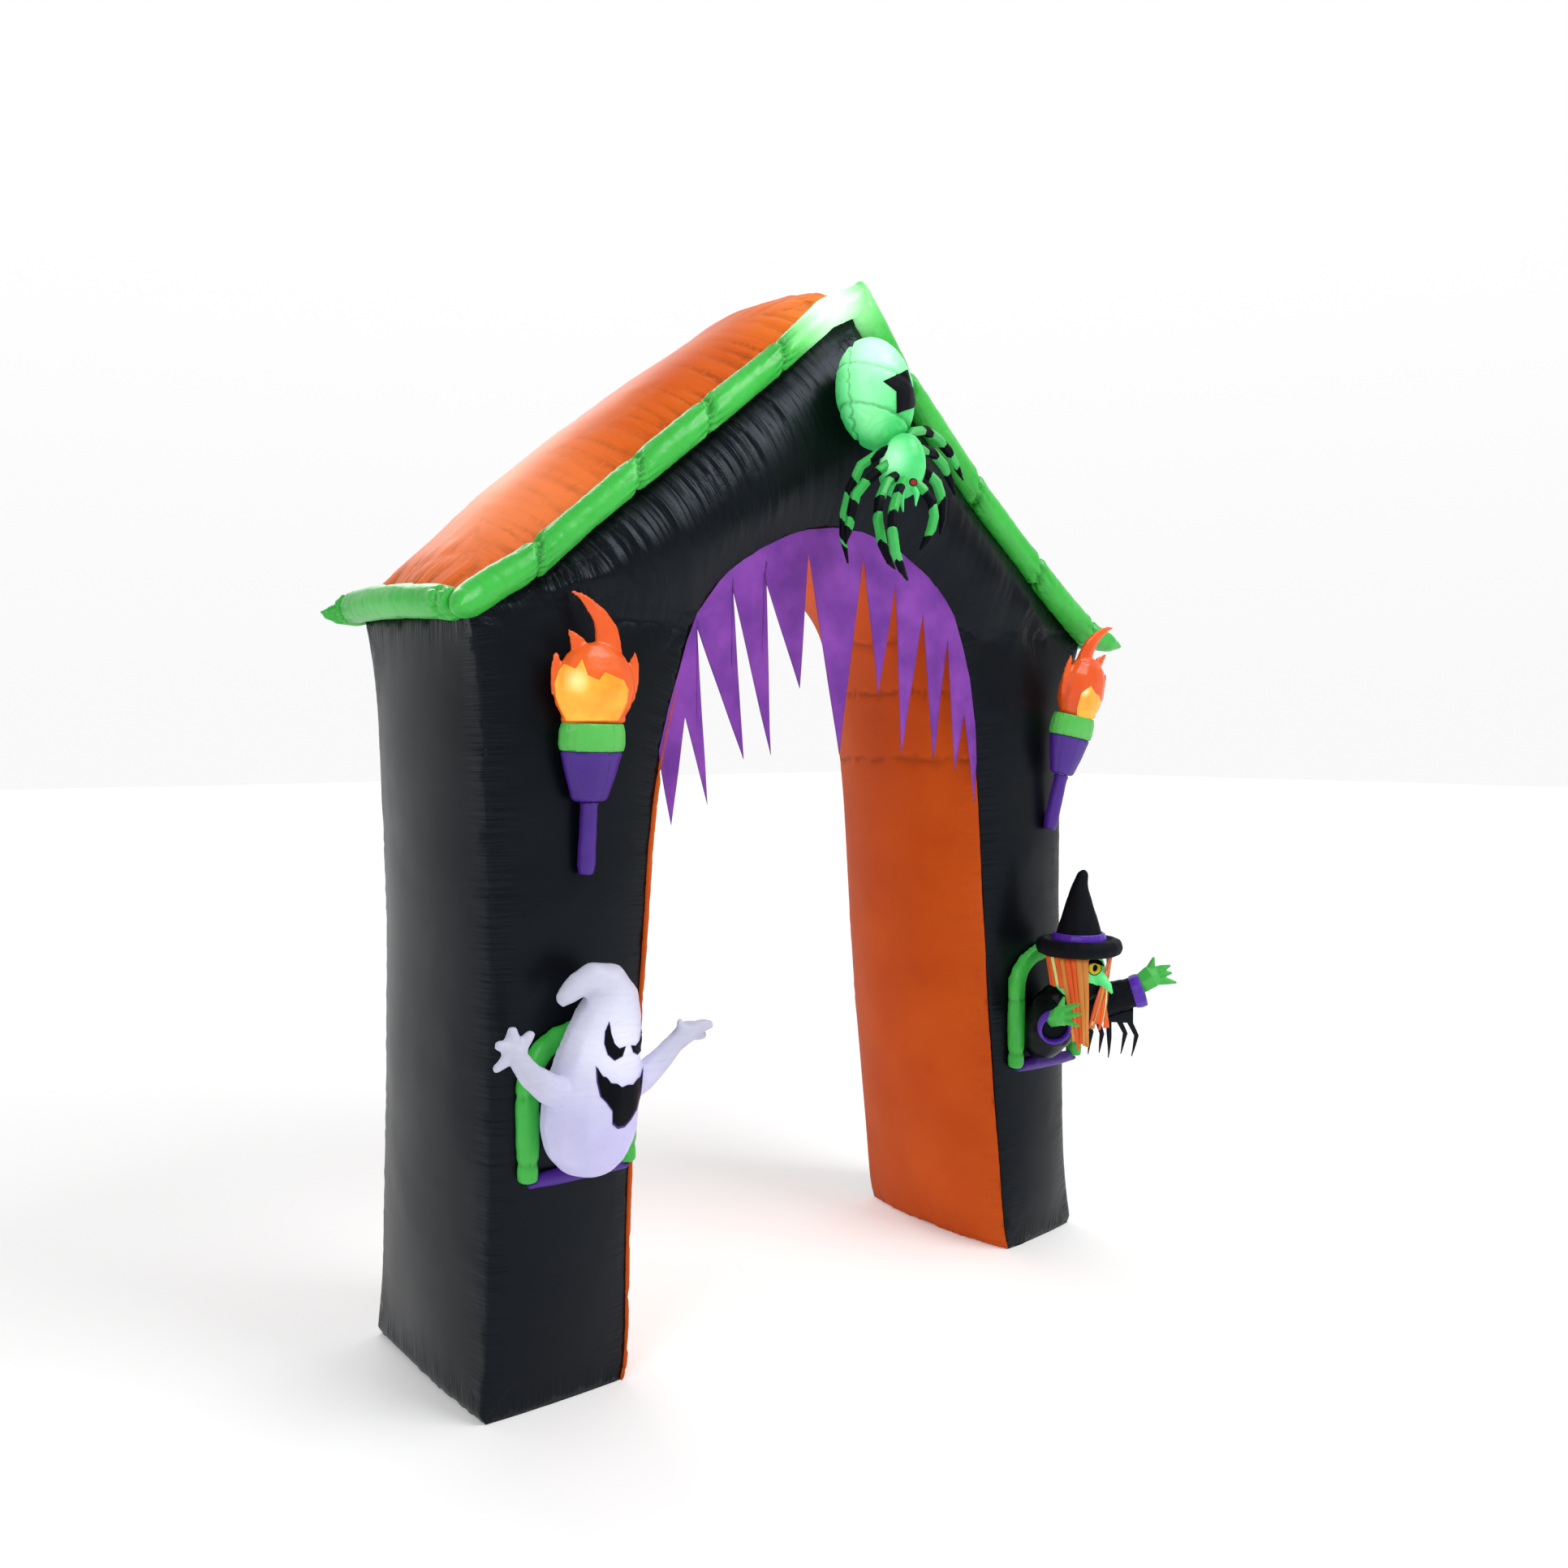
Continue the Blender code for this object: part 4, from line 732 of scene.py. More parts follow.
TOP_SEAM_WIDTH, TOP_SEAM_DEPTH, TOP_SEAM_RIPPLE = 0.010, 0.0022, 0.0010
SOFFIT_CREASES = (1.80, 1.65, 1.45)
SOFFIT_CREASE, SOFFIT_CREASE_WIDTH = 0.0065, 0.006
SOFFIT_WANDER = 0.012       # how far a crease strays from its level


def gable_lines():
    """For each slope: its way, its foot, the directions along and across it, its length."""
    lines = []
    for side, way in (("left", 1.0), ("right", -1.0)):
        low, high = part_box("trim_front_" + side)
        foot = Vector((low.x if way > 0 else high.x, low.z))
        apex = Vector((high.x if way > 0 else low.x, high.z))
        along = (apex - foot).normalized()
        inward = Vector((along.y * way, -along.x * way))
        lines.append((way, foot, along, inward, (apex - foot).length))
    return lines


GABLE_LINES = gable_lines()
GABLE_MIDDLE = GABLE_LINES[0][1] + GABLE_LINES[0][2] * GABLE_LINES[0][4]


def gable_place(place, normal):
    """Where a place lies in the gable's folds: way, line, distance across, strength."""
    way, foot, along, inward, length = GABLE_LINES[0 if place.x < GABLE_MIDDLE.x else 1]
    spot = Vector((place.x, place.z)) - foot
    across = max(spot.dot(inward), 0.0)
    run = spot.dot(along)
    line = run - FOLD_SLANT * across + FOLD_CURVE * across * across
    if place.z < GABLE_FOOT_Z or normal.y > -0.5:
        return way, line, across, 0.0
    middle = bell((run / length - 0.5) / GABLE_SPREAD)
    strength = bell(across / GABLE_REACH) * (GABLE_ENDS + (1.0 - GABLE_ENDS) * middle)
    strength *= clamp((place.z - GABLE_FOOT_Z) / GABLE_RISE)
    return way, line, across, strength * (1.0 if way > 0 else RIGHT_SLOPE)


def gable_relief(place, normal):
    """Curved folds that run from the roof's trim down towards the opening."""
    way, line, across, strength = gable_place(place, normal)
    if strength <= 0.0:
        return 0.0
    drawn = GABLE_DRAWN * math.exp(-across / DRAWN_WIDTH)
    drawn *= clamp((place.z - GABLE_FOOT_Z) / GABLE_RISE)
    drawn *= clamp((GABLE_MIDDLE.x - place.x) / DRAWN_END)
    big = fold(noise.noise(Vector((line / GABLE_PITCH, across * 0.9, 7.0 * way))))
    fine = fold(noise.noise(Vector((line / (GABLE_PITCH * 0.5), across * 1.2, 3.0))))
    return GABLE_FOLD * strength * (big + GABLE_FINE * fine) - drawn


def mark_folds(obj):
    """Tell the material where the gable's folds run."""
    found = [gable_place(vertex.co, vertex.normal) for vertex in obj.data.vertices]
    keep_values(obj, "fold_place", [(line, across * 0.05, 0.0) for _, line, across, _ in found],
                "FLOAT_VECTOR")
    keep_values(obj, "fold_depth", [strength for _, _, _, strength in found], "FLOAT")


def top_seam_relief(place, normal):
    """Shallow seam across the top of each leg, on the front and the back."""
    if abs(place.x) < TOP_SEAM_X or abs(normal.y) < 0.5:
        return 0.0
    off = (place.z - TOP_SEAM_Z) / TOP_SEAM_WIDTH
    if abs(off) > 8.0:
        return 0.0
    wave = noise.noise(Vector((place.x / 0.02, 0.0, 1.0)))
    return TOP_SEAM_RIPPLE * wave * math.exp(-abs(off) / 3.0) - TOP_SEAM_DEPTH * bell(off)


def slack_relief(size, amount, seed):
    """Broad, slack unevenness of a blown-up panel."""
    def height(place, normal):
        return amount * noise.noise(place / size + Vector((seed, 0.0, 0.0)))

    return height


def soffit_relief(place, normal):
    """Creases across the orange panel near the top of each leg."""
    result = 0.0
    for level in SOFFIT_CREASES:
        wander = SOFFIT_WANDER * noise.noise(Vector((place.y / 0.15, level, place.x)))
        off = (place.z - level - wander) / SOFFIT_CREASE_WIDTH
        if abs(off) < 4.0:
            result -= SOFFIT_CREASE * bell(off)
    return result


LIP = 0.009                 # how far the soffit's edge stands out beside the left leg
LIP_WIDTH = 0.03
LIP_FADE = 0.25             # below the top seam it comes in over this height


def lip_relief():
    """The orange panel's edge shows beside the left leg's front."""
    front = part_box("soffit_panel")[0].y

    def height(place, normal):
        if place.x > 0.0 or place.z > TOP_SEAM_Z:
            return 0.0
        fade = clamp((TOP_SEAM_Z - place.z) / LIP_FADE)
        return LIP * fade * bell((place.y - front) / LIP_WIDTH)

    return height


TUCK = 0.014                # how far the roof's edges go in under its trims
TUCK_WIDTH = 0.060


def tuck_in(obj):
    """Draw the front and back edges in, so that they stay hidden under the trims."""
    front, back = (corner.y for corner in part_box("roof_panel"))
    for vertex in obj.data.vertices:
        for edge, way in ((front, 1.0), (back, -1.0)):
            off = (vertex.co.y - edge) * way / TUCK_WIDTH
            if off < 1.0:
                vertex.co.y += way * TUCK * (1.0 - max(off, 0.0)) ** 2
    obj.data.update()


# ---- trims ---------------------------------------------------------------------------
# Where the front left trim is cinched, as pixels of the photograph
TRIM_CINCHES = ((671, 680), (795, 567), (881, 508), (973, 421))
# Where the others are, as shares of their length, and how far from an eave's ends
TRIM_SHARES = (0.14, 0.36, 0.60, 0.84)
FRAME_SHARES = (0.12, 0.55)
EAVE_CINCH = 0.04
FRONT_TRIM_FULLER = {"trim_front_left": 0.0015, "trim_front_right": 0.0045}
CINCH_DEPTH = 0.0120
CINCH_WIDTH = 0.008
CINCH_REACH = 0.020
CINCH_LEAN = 0.006          # how far a cinch strays from its level
CINCH_PUCKER = 0.9          # share of the depth that the puckers have
FRAME_CINCH = 0.22          # share of the depth that a window frame's cinches have
SLACK_FOLD, SLACK_PITCH, SLACK_RISE = 0.0010, 0.034, 0.0006


def cinch_relief(cinches, depth):
    """Tube drawn in at each cinch, with puckers on both sides and slack in between."""
    def height(place, normal):
        result = SLACK_FOLD * fold(noise.noise(place / SLACK_PITCH)) + SLACK_RISE
        for axis, level in cinches:
            lean = CINCH_LEAN * noise.noise(normal * 1.5)
            off = abs(place[axis] - level - lean)
            if off < CINCH_REACH * 3.0:
                result -= depth * bell(off / CINCH_WIDTH)
                crease = fold(noise.noise(normal * 2.6 + Vector((level, 0.0, off * 8.0))))
                result += CINCH_PUCKER * depth * crease * math.exp(-off / CINCH_REACH)
        return result

    return height


def trim_cinches(node):
    low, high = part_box(node)
    if "eave" in node:
        return [(1, low.y + EAVE_CINCH), (1, high.y - EAVE_CINCH)]
    if node == "trim_front_left":
        return [(0, on_front(pixel, low.y).x) for pixel in TRIM_CINCHES]
    shares = TRIM_SHARES
    if node.endswith("right"):
        shares = tuple(1.0 - share for share in shares)
    return [(0, low.x + (high.x - low.x) * share) for share in shares]


def frame_cinches(node):
    low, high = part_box(node)
    return [(2, low.z + (high.z - low.z) * share) for share in FRAME_SHARES]


# ---- round pieces --------------------------------------------------------------------
CUFF_WIDE, CUFF_THICK = 1.7, 0.55       # a cuff's width and thickness against the CAD ring
TORCH_PANELS = 6
TORCH_SEAM, TORCH_SEAM_WIDTH, TORCH_WAVE = 0.0016, 0.08, 0.0010


def torch_relief(node):
    """Upright panel seams round a torch's cup or rim."""
    low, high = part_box(node)
    centre = (low + high) / 2.0

    def height(place, normal):
        angle = math.atan2(normal.y, normal.x)
        off = abs((angle / (2.0 * math.pi / TORCH_PANELS) + 0.25) % 1.0 - 0.5) * 2.0
        wave = noise.noise(Vector((angle * 4.0, place.z / 0.05, centre.x)))
        return TORCH_WAVE * wave - TORCH_SEAM * bell((1.0 - off) / TORCH_SEAM_WIDTH)

    return height


ABDOMEN_SIDE = Vector((-0.788, 0.616, 0.0))     # towards the side seam
ABDOMEN_RINGS = (0.27, 0.63)        # the cross seams, as shares of the abdomen's height
ABDOMEN_SEAM, RING_WIDTH, SIDE_WIDTH = 0.0060, 0.006, 0.045
SIDE_COSINE = 0.70                  # between the side seam's normal and ABDOMEN_SIDE
SCALLOP, SCALLOP_LENGTH = 0.07, 0.009
ABDOMEN_CREASE, ABDOMEN_PITCH = 0.0010, 0.022


def abdomen_relief():
    """Cross seams and a scalloped side seam, with the cloth standing out in between."""
    low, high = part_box("spider_abdomen")
    centre = (low + high) / 2.0
    rings = [low.z + (high.z - low.z) * share for share in ABDOMEN_RINGS]

    def height(place, normal):
        seam = sum(bell((place.z - ring + 0.03 * normal.x) / RING_WIDTH) for ring in rings)
        scallop = SCALLOP * abs(math.sin(place.z / SCALLOP_LENGTH))
        seam += bell((normal.dot(ABDOMEN_SIDE) - SIDE_COSINE + scallop) / SIDE_WIDTH)
        spot = (place - centre) / ABDOMEN_PITCH + Vector((0.0, 4.0, 0.0))
        return ABDOMEN_CREASE * fold(noise.noise(spot)) - ABDOMEN_SEAM * seam

    return height


FLARE, FLARE_AT, FLARE_WIDTH = 0.006, 0.008, 0.006
FLAME_WAVE = 0.0012


def flame_relief(node):
    """Flame that flares out a little where it leaves the torch's rim."""
    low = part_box(node)[0]

    def height(place, normal):
        base = FLARE * bell((place.z - low.z - FLARE_AT) / FLARE_WIDTH)
        return base + FLAME_WAVE * noise.noise(place / 0.03)

    return height


HEAD_FULLER, CHEEK_FULLER, CHEEK_DROP, HEAD_WAVE = 0.004, 0.012, 0.3, 0.001


def head_relief():
    """The spider's head, fuller towards its lower front."""
    low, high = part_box("spider_head")

    def height(place, normal):
        drop = (high.z - place.z) / (high.z - low.z)
        fuller = HEAD_FULLER + CHEEK_FULLER * max(0.0, drop - CHEEK_DROP)
        return fuller + HEAD_WAVE * noise.noise(place / 0.02)

    return height


GHOST_CREASE = 0.0009
GHOST_PITCH, GHOST_PITCH_Z = 0.07, 0.016
FACE_REACH = 0.13           # the creases are deepest this near the face
SLEEVE_FOLD, SLEEVE_PITCH = 0.0030, 0.035


def ghost_relief(place, normal):
    """Creases that run across the ghost, at its face and below its hood."""
    squeezed = Vector((place.x / GHOST_PITCH, place.y / GHOST_PITCH, place.z / GHOST_PITCH_Z))
    amount = bell((place.z - GHOST_FACE.z) / FACE_REACH) + 0.2
    return GHOST_CREASE * amount * fold(noise.noise(squeezed))


def sleeve_relief(place, normal):
    return SLEEVE_FOLD * fold(noise.noise(place / SLEEVE_PITCH))


# Slack of each piece: size and height of its waves, and their seed
BODY_SLACK = (0.28, 0.0035, 2.0)
SOFFIT_SLACK = (0.20, 0.0025, 5.0)
ROOF_SLACK = (0.22, 0.0040, 9.0)
GHOST_SLACK = (0.045, 0.0016, 1.0)
SMALL_SLACK = (0.030, 0.0010, 3.0)


def panel_reliefs(node, seams):
    if node == "arch_body":
        return [gable_relief, top_seam_relief, slack_relief(*BODY_SLACK),
                sink_under("soffit_panel", seams)]
    if node == "soffit_panel":
        return [soffit_relief, slack_relief(*SOFFIT_SLACK), lip_relief()]
    return [slack_relief(*ROOF_SLACK)]


def round_reliefs(node):
    if node.startswith("trim"):
        fuller = FRONT_TRIM_FULLER.get(node, 0.0)
        return [cinch_relief(trim_cinches(node), CINCH_DEPTH), lambda place, normal: fuller]
    if node.endswith("_frame"):
        return [cinch_relief(frame_cinches(node), CINCH_DEPTH * FRAME_CINCH)]
    if node.endswith(("_cup", "_rim")):
        return [torch_relief(node)]
    if node.endswith("_flame"):
        return [flame_relief(node)]
    if node == "spider_abdomen":
        return [abdomen_relief()]
    if node == "spider_head":
        return [head_relief()]
    if node == "ghost_body":
        return [slack_relief(*GHOST_SLACK), ghost_relief]
    if node.startswith("witch_sleeve") or node == "witch_torso":
        return [sleeve_relief]
    return [slack_relief(*SMALL_SLACK)]


def make_panels():
    for row in row_dicts(PANEL_COLUMNS, PANEL_ROWS):
        node = row["node"]
        obj, seams = panel_skin(row)
        mark_seams(obj, seams, row["reach"])
        if node == "arch_body":
            mark_folds(obj)
        push(obj, seam_relief(seams, row), *panel_reliefs(node, seams))
        if node == "roof_panel":
            tuck_in(obj)
        else:
            level_feet(obj)
        dress(obj, row["material"], node)


def make_round_pieces():
    """Every other filled piece but the spider's legs, by the name of its node."""
    pieces = {}
    for row in row_dicts(ROUND_COLUMNS, ROUND_ROWS):
        node = row["node"]
        obj = round_skin(row)
        if "_cuff_" in node:
            flatten_ring(obj)
        push(obj, *round_reliefs(node))
        dress(obj, row["material"], node, *SEWN_ON.get(node, ()))
        pieces[node] = obj
    return pieces


def flatten_ring(obj):
    """Turn a ring of round section into a flat band: wider along its axis, thinner across."""
    spots = coordinates(obj.data)
    away = spots - spots.mean(0)
    axis = np.linalg.svd(away, full_matrices=False)[2][2]
    along = away @ axis
    across = away - np.outer(along, axis)
    radius = np.linalg.norm(across, axis=1)
    middle = (radius.min() + radius.max()) / 2.0
    thin = (middle + (radius - middle) * CUFF_THICK) / radius
    put_coordinates(obj.data, spots.mean(0) + across * thin[:, None]
                    + np.outer(along * CUFF_WIDE, axis))


# ---- spider's legs -------------------------------------------------------------------
LEG_FACET = 0.0028
LEG_ROUNDS = 4
LEG_BLACK, LEG_GREEN = 0.046, 0.070     # lengths of the bands of colour
LEG_SHIFT = 1.4             # an even leg's bands start this many black bands further on
LEG_TIP = 0.040             # the black tip
LEG_GROOVE, LEG_GROOVE_WIDTH = 0.0014, 0.003


def distance_along(mesh, start):
    """Way from one vertex to every other, along the edges."""
    near = [[] for _ in mesh.vertices]
    for edge in mesh.edges:
        a, b = edge.vertices
        length = (mesh.vertices[a].co - mesh.vertices[b].co).length
        near[a].append((b, length))
        near[b].append((a, length))
    far = [math.inf] * len(near)
    far[start] = 0.0
    queue = [(0.0, start)]
    while queue:
        way, index = heapq.heappop(queue)
        if way > far[index]:
            continue
        for other, length in near[index]:
            if way + length < far[other]:
                far[other] = way + length
                heapq.heappush(queue, (far[other], other))
    return far


def make_spider_legs():
    low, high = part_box("spider_head")
    head = (low + high) / 2.0
    for number in range(1, 9):
        node = f"spider_leg_{number}"
        obj = node_copy(node, node + "_skin")
        voxel_skin(obj, LEG_FACET, LEG_ROUNDS)
        mesh = obj.data
        root = min(mesh.vertices, key=lambda vertex: (vertex.co - head).length).index
        way = distance_along(mesh, root)
        length = max(value for value in way if value < math.inf)
        normals = [vertex.normal.copy() for vertex in mesh.vertices]
        period = LEG_BLACK + LEG_GREEN
        start = 0.0 if number % 2 else LEG_BLACK * LEG_SHIFT
        for vertex, normal in zip(mesh.vertices, normals):
            here = (way[vertex.index] + start) % period
            off = min(here, abs(here - LEG_BLACK), period - here)
            vertex.co -= normal * LEG_GROOVE * bell(off / LEG_GROOVE_WIDTH)
        dress(obj, "leg_green", node)
        mesh.materials.append(MATERIALS["ink"])
        for face in mesh.polygons:
            here = sum(way[index] for index in face.vertices) / len(face.vertices)
            if here > length - LEG_TIP or (here + start) % period < LEG_BLACK:
                face.material_index = 1


# ---- applied shapes ------------------------------------------------------------------
def oval(centre_u, centre_v, radius_u, radius_v, steps=20):
    return [(centre_u + radius_u * math.cos(2.0 * math.pi * step / steps),
             centre_v + radius_v * math.sin(2.0 * math.pi * step / steps))
            for step in range(steps)]


APPLIED_STEP = 3.0          # pixels between the points of an applied shape
APPLIED_THICK = 0.0008
EDGE_LIFT = 0.0012          # how far a shape's edge stands off the cloth

# Outlines as pixels of the photograph
GHOST_LEFT_EYE = ((751, 1260), (746, 1272), (745, 1286), (749, 1299), (757, 1306), (766, 1301),
                  (770, 1289), (763, 1292), (757, 1286), (753, 1274))
GHOST_RIGHT_EYE = ((790.5, 1268), (792, 1280), (790, 1293), (785, 1299), (780, 1296),
                   (777.5, 1288), (783, 1288.5), (787.5, 1282))
GHOST_MOUTH = ((736, 1315), (743, 1327), (748, 1328), (753, 1335), (761, 1336), (766, 1340),
               (773, 1337), (779, 1337), (784, 1330), (788, 1327), (791, 1316), (790, 1332),
               (788, 1346), (783, 1366), (776, 1378), (769, 1386), (761, 1388), (755, 1383),
               (755, 1368), (748, 1358), (741, 1351), (737, 1334))
SPIDER_MARK = ((1087.5, 470), (1117.5, 455.5), (1124, 478), (1129, 499), (1125, 502.5),
               (1104.5, 509), (1104, 482.5))
SPIDER_EYE = oval(1125.0, 594.0, 3.9, 3.8)
WITCH_EYE = oval(1348.6, 1193.2, 7.6, 7.8)
WITCH_PUPIL = oval(1348.8, 1193.2, 3.0, 4.2)
WITCH_BROW = ((1338, 1189), (1342, 1183.4), (1349, 1181.6), (1356, 1184.6), (1360, 1191),
              (1355, 1189.4), (1348.5, 1187.4), (1343, 1188.2))
# Partly the witch's mouth and partly painted shadow: the ink reaches down over the shadow under
# her hair
WITCH_MOUTH_AND_SHADOW = ((1339, 1210.5), (1346, 1212), (1351, 1214), (1356.5, 1214.5), (1358, 1221),
               (1353, 1227), (1347, 1231), (1339, 1232))
LEFT_FLAME_HEART = ((698, 888), (690, 872), (685, 858), (683, 842), (688, 826), (695, 818),
                    (702, 836), (709, 824), (717, 812), (724, 832), (731, 848), (738, 838),
                    (745, 828), (749, 842), (755, 852), (761, 844), (768, 838), (774, 850),
                    (772, 866), (766, 880), (761, 888))
RIGHT_FLAME_HEART = ((1326, 889), (1327, 872), (1332, 854), (1338, 862), (1344, 845),
                     (1349, 854), (1354, 857), (1356, 868), (1353, 880), (1349, 889))

# Each shape: the piece it is sewn to, its outline, its material, how far it stands off the
# cloth, and the width (as a share of its size) and the material of its edge, if it has one
APPLIED_COLUMNS = ("name", "carrier", "outline", "material", "lift", "edge", "edge_material")
APPLIED_ROWS = (
    ("ghost_eye_left", "ghost_body", GHOST_LEFT_EYE, "ink", 0.0024, 0.07, "ink_edge"),
    ("ghost_eye_right", "ghost_body", GHOST_RIGHT_EYE, "ink", 0.0024, 0.07, "ink_edge"),
    ("ghost_mouth", "ghost_body", GHOST_MOUTH, "ink", 0.0024, 0.07, "ink_edge"),
    ("spider_mark", "spider_abdomen", SPIDER_MARK, "ink", 0.0020, None, None),
    ("spider_eye", "spider_head", SPIDER_EYE, "eye_red", 0.0022, 0.30, "ink"),
    ("witch_eye", "witch_head", WITCH_EYE, "eye_yellow", 0.0022, 0.14, "ink"),
    ("witch_pupil", "witch_head", WITCH_PUPIL, "ink", 0.0032, None, None),
    ("witch_brow", "witch_head", WITCH_BROW, "ink", 0.0030, None, None),
    # The mouth's ink takes in painted shadow under the hair too
    ("witch_mouth", "witch_head", WITCH_MOUTH_AND_SHADOW, "ink", 0.0020, None, None),
    ("torch_left_heart", "torch_left_flame", LEFT_FLAME_HEART, "flame_heart", 0.0014, None,
     None),
    ("torch_right_heart", "torch_right_flame", RIGHT_FLAME_HEART, "flame_heart", 0.0014, None,
     None),
)


def widened(outline, share):
    """The same outline, larger by a share of its size round its middle."""
    middle = (sum(point[0] for point in outline) / len(outline),
              sum(point[1] for point in outline) / len(outline))
    return [tuple(m + (p - m) * (1.0 + share) for p, m in zip(point, middle))
            for point in outline]


def applied(name, outline, carrier, material, lift):
    """Thin cloth shape sewn to a piece, where the camera sees its outline on that piece."""
    bm = bmesh.new()
    bm.faces.new([bm.verts.new((u, v, 0.0)) for u, v in outline])
    bmesh.ops.triangulate(bm, faces=bm.faces)
    cut_finely(bm, APPLIED_STEP)
    tree = BVHTree.FromObject(carrier, bpy.context.evaluated_depsgraph_get())
    middle = sum((vertex.co for vertex in carrier.data.vertices), Vector()) / len(
        carrier.data.vertices)
    for vertex in bm.verts:
        start, direction = pixel_ray((vertex.co.x, vertex.co.y))
        spot, normal, _, _ = tree.ray_cast(start, direction)
        if spot is None:
            reach = (middle - start).dot(direction)
            spot, normal, _, _ = tree.find_nearest(start + direction * reach)
        vertex.co = spot + normal * lift
    bmesh.ops.recalc_face_normals(bm, faces=bm.faces)
    obj = object_from(bm, name)
    modify(obj, "SOLIDIFY", thickness=APPLIED_THICK, offset=0.0)
    dress(obj, material)


def make_applied(pieces):
    for row in row_dicts(APPLIED_COLUMNS, APPLIED_ROWS):
        carrier = pieces[row["carrier"]]
        if row["edge"]:
            applied(row["name"] + "_edge", widened(row["outline"], row["edge"]), carrier,
                    row["edge_material"], EDGE_LIFT)
        applied(row["name"], row["outline"], carrier, row["material"], row["lift"])


# ---- loose cloth ---------------------------------------------------------------------
def loose_copy(node, name, levels):
    """Copy of a sheet node, cut up finely without changing its outline."""
    obj = node_copy(node, name)
    with editing(obj.data) as bm:
        for _ in range(levels):
            bmesh.ops.subdivide_edges(bm, edges=bm.edges, cuts=1, use_grid_fill=True)
        bmesh.ops.triangulate(bm, faces=bm.faces)
    return obj


VALANCE_TOP, VALANCE_DROP = 2.07, 0.70  # its folds deepen from the one over the other
VALANCE_WAVE, VALANCE_CURL, VALANCE_FORWARD = 0.007, 0.004, 0.004
VALANCE_SPREAD = 1.025      # its sides reach the orange panel
VALANCE_MIDDLE = 1.60       # and its top does too, from here upwards
VALANCE_LIFT = 0.014


def make_valance():
    obj = loose_copy("valance", "valance_cloth", 3)
    for vertex in obj.data.vertices:
        hang = clamp((VALANCE_TOP - vertex.co.z) / VALANCE_DROP)
        wave = noise.noise(Vector((vertex.co.x * 9.0, 0.0, vertex.co.z * 2.2)))
        curl = noise.noise(Vector((vertex.co.x * 22.0, 5.0, vertex.co.z * 5.0)))
        vertex.co.y -= hang * (VALANCE_WAVE * wave + VALANCE_CURL * curl + VALANCE_FORWARD)
        vertex.co.x *= VALANCE_SPREAD
        if vertex.co.z > VALANCE_MIDDLE:
            vertex.co.z += (vertex.co.z - VALANCE_MIDDLE) * VALANCE_LIFT
    dress(obj, "sheer", "valance")


FRINGE_TOP, FRINGE_DROP = 0.69, 0.10
FRINGE_CURL = Vector((0.6, -0.8, 0.0)) * 0.004


def make_fringe():
    obj = loose_copy("witch_sleeve_fringe", "witch_fringe_cloth", 2)
    for vertex in obj.data.vertices:
        hang = clamp((FRINGE_TOP - vertex.co.z) / FRINGE_DROP)
        curl = noise.noise(Vector((vertex.co.x * 30.0, 2.0, vertex.co.z * 20.0)))
        vertex.co += FRINGE_CURL * hang * curl
    dress(obj, "black", "witch_sleeve_fringe")


# Ribbons of hair: where a panel starts and ends round the head, in degrees, where its
# feet gather, how low they hang, how many ribbons it has and how many end on the sleeve.
HAIR_COLUMNS = ("side", "first", "last", "foot_a", "foot_b", "foot_z", "ribbons", "short")
HAIR_ROWS = (
    ("left", 146.0, 234.0, (0.6386, -0.3979), (0.7126, -0.4349), 0.655, 9, 4),
    ("right", 281.0, 345.0, (0.7276, -0.4179), (0.8136, -0.4189), 0.698, 6, 0),
)
HAIR_CENTRE = Vector((0.7656, -0.3549, 0.0))
HAIR_RADIUS = {"left": 0.100, "right": 0.092}
# The shade of each ribbon in turn: 0 orange, 1 amber, 2 pale with a painted highlight
HAIR_SHADES = {"left": (0, 0, 2, 0, 1, 0, 0, 1, 1), "right": (0, 1, 0, 0, 2, 0)}
HAIR_TOP = 0.900
HAIR_THICK = 0.0006
SHORT_HAIR = 0.34           # share of the drop that a short ribbon has
UNEVEN_HAIR = 0.05          # how unevenly the ribbons end
HAIR_LEVELS = 16
RAILS = (-0.5, -0.17, 0.17, 0.5)    # across a ribbon, from edge to edge
RAIL_LAP = 1.06             # how wide a ribbon is against its share of the panel
HAIR_RIPPLE, HAIR_CUP, HAIR_LAYER = 0.0035, 0.0014, 0.0012


def ribbon(bm, row, index):
    """One ribbon: a narrow strip that twists a little on its way down."""
    gather_a, gather_b = (Vector((*row[key], 0.0)) for key in ("foot_a", "foot_b"))
    pitch = 1.0 / row["ribbons"]
    drop = SHORT_HAIR if index < row["short"] else 1.0
    drop *= 1.0 + UNEVEN_HAIR * math.sin(index * 2.7)
    rails = []
    for level in range(HAIR_LEVELS + 1):
        share = drop * level / HAIR_LEVELS
        line = []
        for way in RAILS:
            place = (index + 0.5 + way * RAIL_LAP) * pitch
            angle = math.radians(row["first"] + (row["last"] - row["first"]) * place)
            away = Vector((math.cos(angle), math.sin(angle), 0.0))
            around = HAIR_CENTRE + away * HAIR_RADIUS[row["side"]]
            spot = around.lerp(gather_a.lerp(gather_b, place), share)
            outward = (spot - HAIR_CENTRE).normalized()
            ripple = HAIR_RIPPLE * share * math.sin(index * 1.9 + way * 3.0 + share * 9.0)
            cup = HAIR_CUP * (1.0 - (2.0 * way) ** 2)
            spot += outward * (ripple + cup + HAIR_LAYER * (index % 2))
            spot.z = HAIR_TOP - (HAIR_TOP - row["foot_z"]) * share
            line.append(bm.verts.new(spot))
        rails.append(line)
    for above, below in zip(rails, rails[1:]):
        for a, b, c, d in zip(above, above[1:], below[1:], below):
            bm.faces.new((a, b, c, d)).material_index = HAIR_SHADES[row["side"]][index]


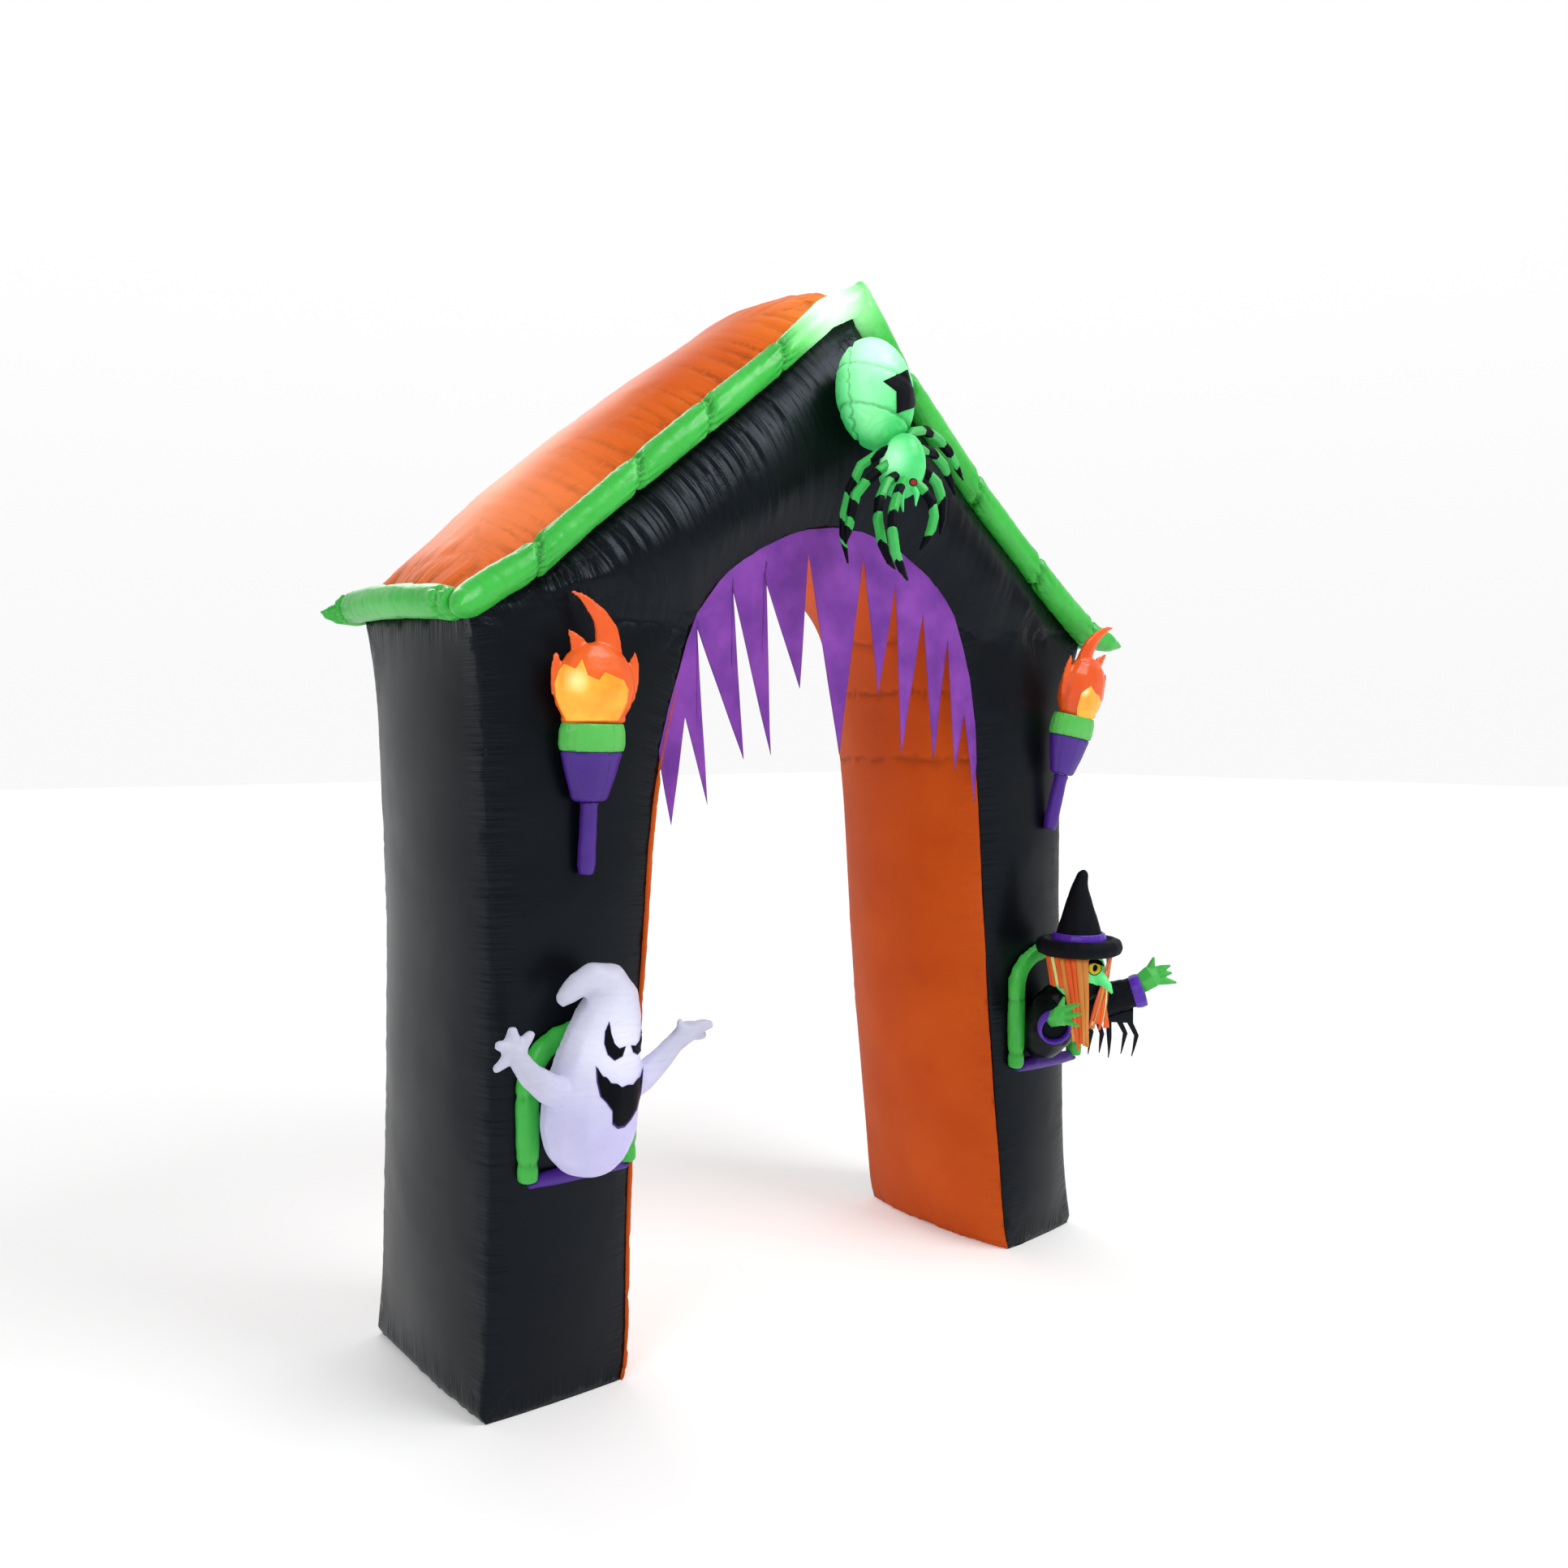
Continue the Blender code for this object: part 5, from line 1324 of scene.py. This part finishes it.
def make_hair():
    for row in row_dicts(HAIR_COLUMNS, HAIR_ROWS):
        side = row["side"]
        bm = bmesh.new()
        for index in range(row["ribbons"]):
            ribbon(bm, row, index)
        obj = object_from(bm, "witch_ribbons_" + side)
        modify(obj, "SOLIDIFY", thickness=HAIR_THICK)
        mesh = obj.data
        shades = [face.material_index for face in mesh.polygons]
        dress(obj, "hair", "witch_hair_" + side)
        mesh.materials.append(MATERIALS["hair_amber"])
        # The pale ribbons carry a painted highlight.
        mesh.materials.append(MATERIALS["hair_painted_highlight"])
        mesh.polygons.foreach_set("material_index", shades)


# ---- studio --------------------------------------------------------------------------
FLOOR_SIDE = 80.0
FLOOR_DROP = 0.0008         # how far the floor is below the feet
FLOOR_COLOUR = (0.94, 0.94, 0.94, 1.0)
FLOOR_ROUGHNESS, FLOOR_SPECULAR = 0.9, 0.1
FLOOR_FADE = (3.0, 9.0)     # metres from the object
FLOOR_GLOW = (0.20, 0.60)   # how much the floor glows at each
LIGHT_COLUMNS = ("name", "place", "aim", "size", "power")
LIGHT_ROWS = (
    ("gable", (2.0, -4.0, 6.3), (-0.2, 0.0, 2.2), 3.4, 260.0),
    ("left", (-5.0, -3.0, 4.2), (-0.4, 0.0, 1.6), 2.4, 80.0),
    ("roof", (0.1, 4.2, 5.0), (-0.5, 0.0, 2.2), 2.2, 70.0),
)
# World light: brighter behind the object, where it is the backdrop, than in front of it
BACKDROP_WAY = (0.616, 0.788, 0.0)
BACKDROP_SPAN = (0.05, 0.75)        # cosines between which it brightens
FRONT_LIGHT, BACKDROP_LIGHT = 0.38, 1.0
HORIZON_LIGHT = 0.95        # share of that light at the horizon
HORIZON_SPAN = (0.0, 0.35)  # heights between which it has the rest
WHITE = (1.0, 1.0, 1.0, 1.0)


def make_camera():
    data = bpy.data.cameras.new("photo_camera")
    data.sensor_width = SENSOR
    data.lens = FOCAL / PHOTO_SIDE * SENSOR
    data.clip_end = FAR_AWAY
    camera = link(bpy.data.objects.new("photo_camera", data))
    camera.location = CAMERA_AT
    camera.rotation_euler = CAMERA_TURN
    bpy.context.scene.camera = camera


def floor_material():
    """Matt white that glows more with its distance from the object."""
    material = bpy.data.materials.new("floor_white")
    material.use_nodes = True
    tree = material.node_tree
    add = node_adder(tree)
    away = add("VectorMath", add("TexCoord")["Object"], operation="LENGTH")["Value"]
    feed(tree, tree.nodes["Principled BSDF"], {
        "Base Color": FLOOR_COLOUR, "Roughness": FLOOR_ROUGHNESS,
        "Specular IOR Level": FLOOR_SPECULAR, "Emission Color": FLOOR_COLOUR,
        "Emission Strength": ramp(add, away, *FLOOR_FADE, *FLOOR_GLOW)})
    return material


def make_floor():
    mesh = bpy.data.meshes.new("floor")
    half = FLOOR_SIDE / 2.0
    corners = [(-half, -half, 0.0), (half, -half, 0.0), (half, half, 0.0), (-half, half, 0.0)]
    mesh.from_pydata(corners, [], [(0, 1, 2, 3)])
    mesh.materials.append(floor_material())
    floor = link(bpy.data.objects.new("floor", mesh))
    floor.location.z = -FLOOR_DROP


def make_world():
    world = bpy.data.worlds.new("studio")
    world.use_nodes = True
    tree = world.node_tree
    add = node_adder(tree)
    way = add("TexCoord")["Generated"]
    towards = add("VectorMath", way, BACKDROP_WAY, operation="DOT_PRODUCT")["Value"]
    light = ramp(add, towards, *BACKDROP_SPAN, FRONT_LIGHT, BACKDROP_LIGHT)
    level = ramp(add, add("SeparateXYZ", way)["Z"], *HORIZON_SPAN, HORIZON_LIGHT)
    feed(tree, tree.nodes["Background"], {
        "Color": WHITE, "Strength": add("Math", light, level, operation="MULTIPLY")["Value"]})
    bpy.context.scene.world = world
    bpy.context.scene.view_settings.view_transform = "Standard"


def make_lights():
    for row in row_dicts(LIGHT_COLUMNS, LIGHT_ROWS):
        data = bpy.data.lights.new(row["name"], "AREA")
        data.size = row["size"]
        data.energy = row["power"]
        lamp = link(bpy.data.objects.new(row["name"], data))
        lamp.location = row["place"]
        aim = Vector(row["aim"]) - Vector(row["place"])
        lamp.rotation_euler = aim.to_track_quat("-Z", "Y").to_euler()


# ---- the scene -----------------------------------------------------------------------
make_camera()
make_panels()
round_pieces = make_round_pieces()
make_spider_legs()
make_applied(round_pieces)
make_valance()
make_fringe()
make_hair()
make_floor()
make_world()
make_lights()
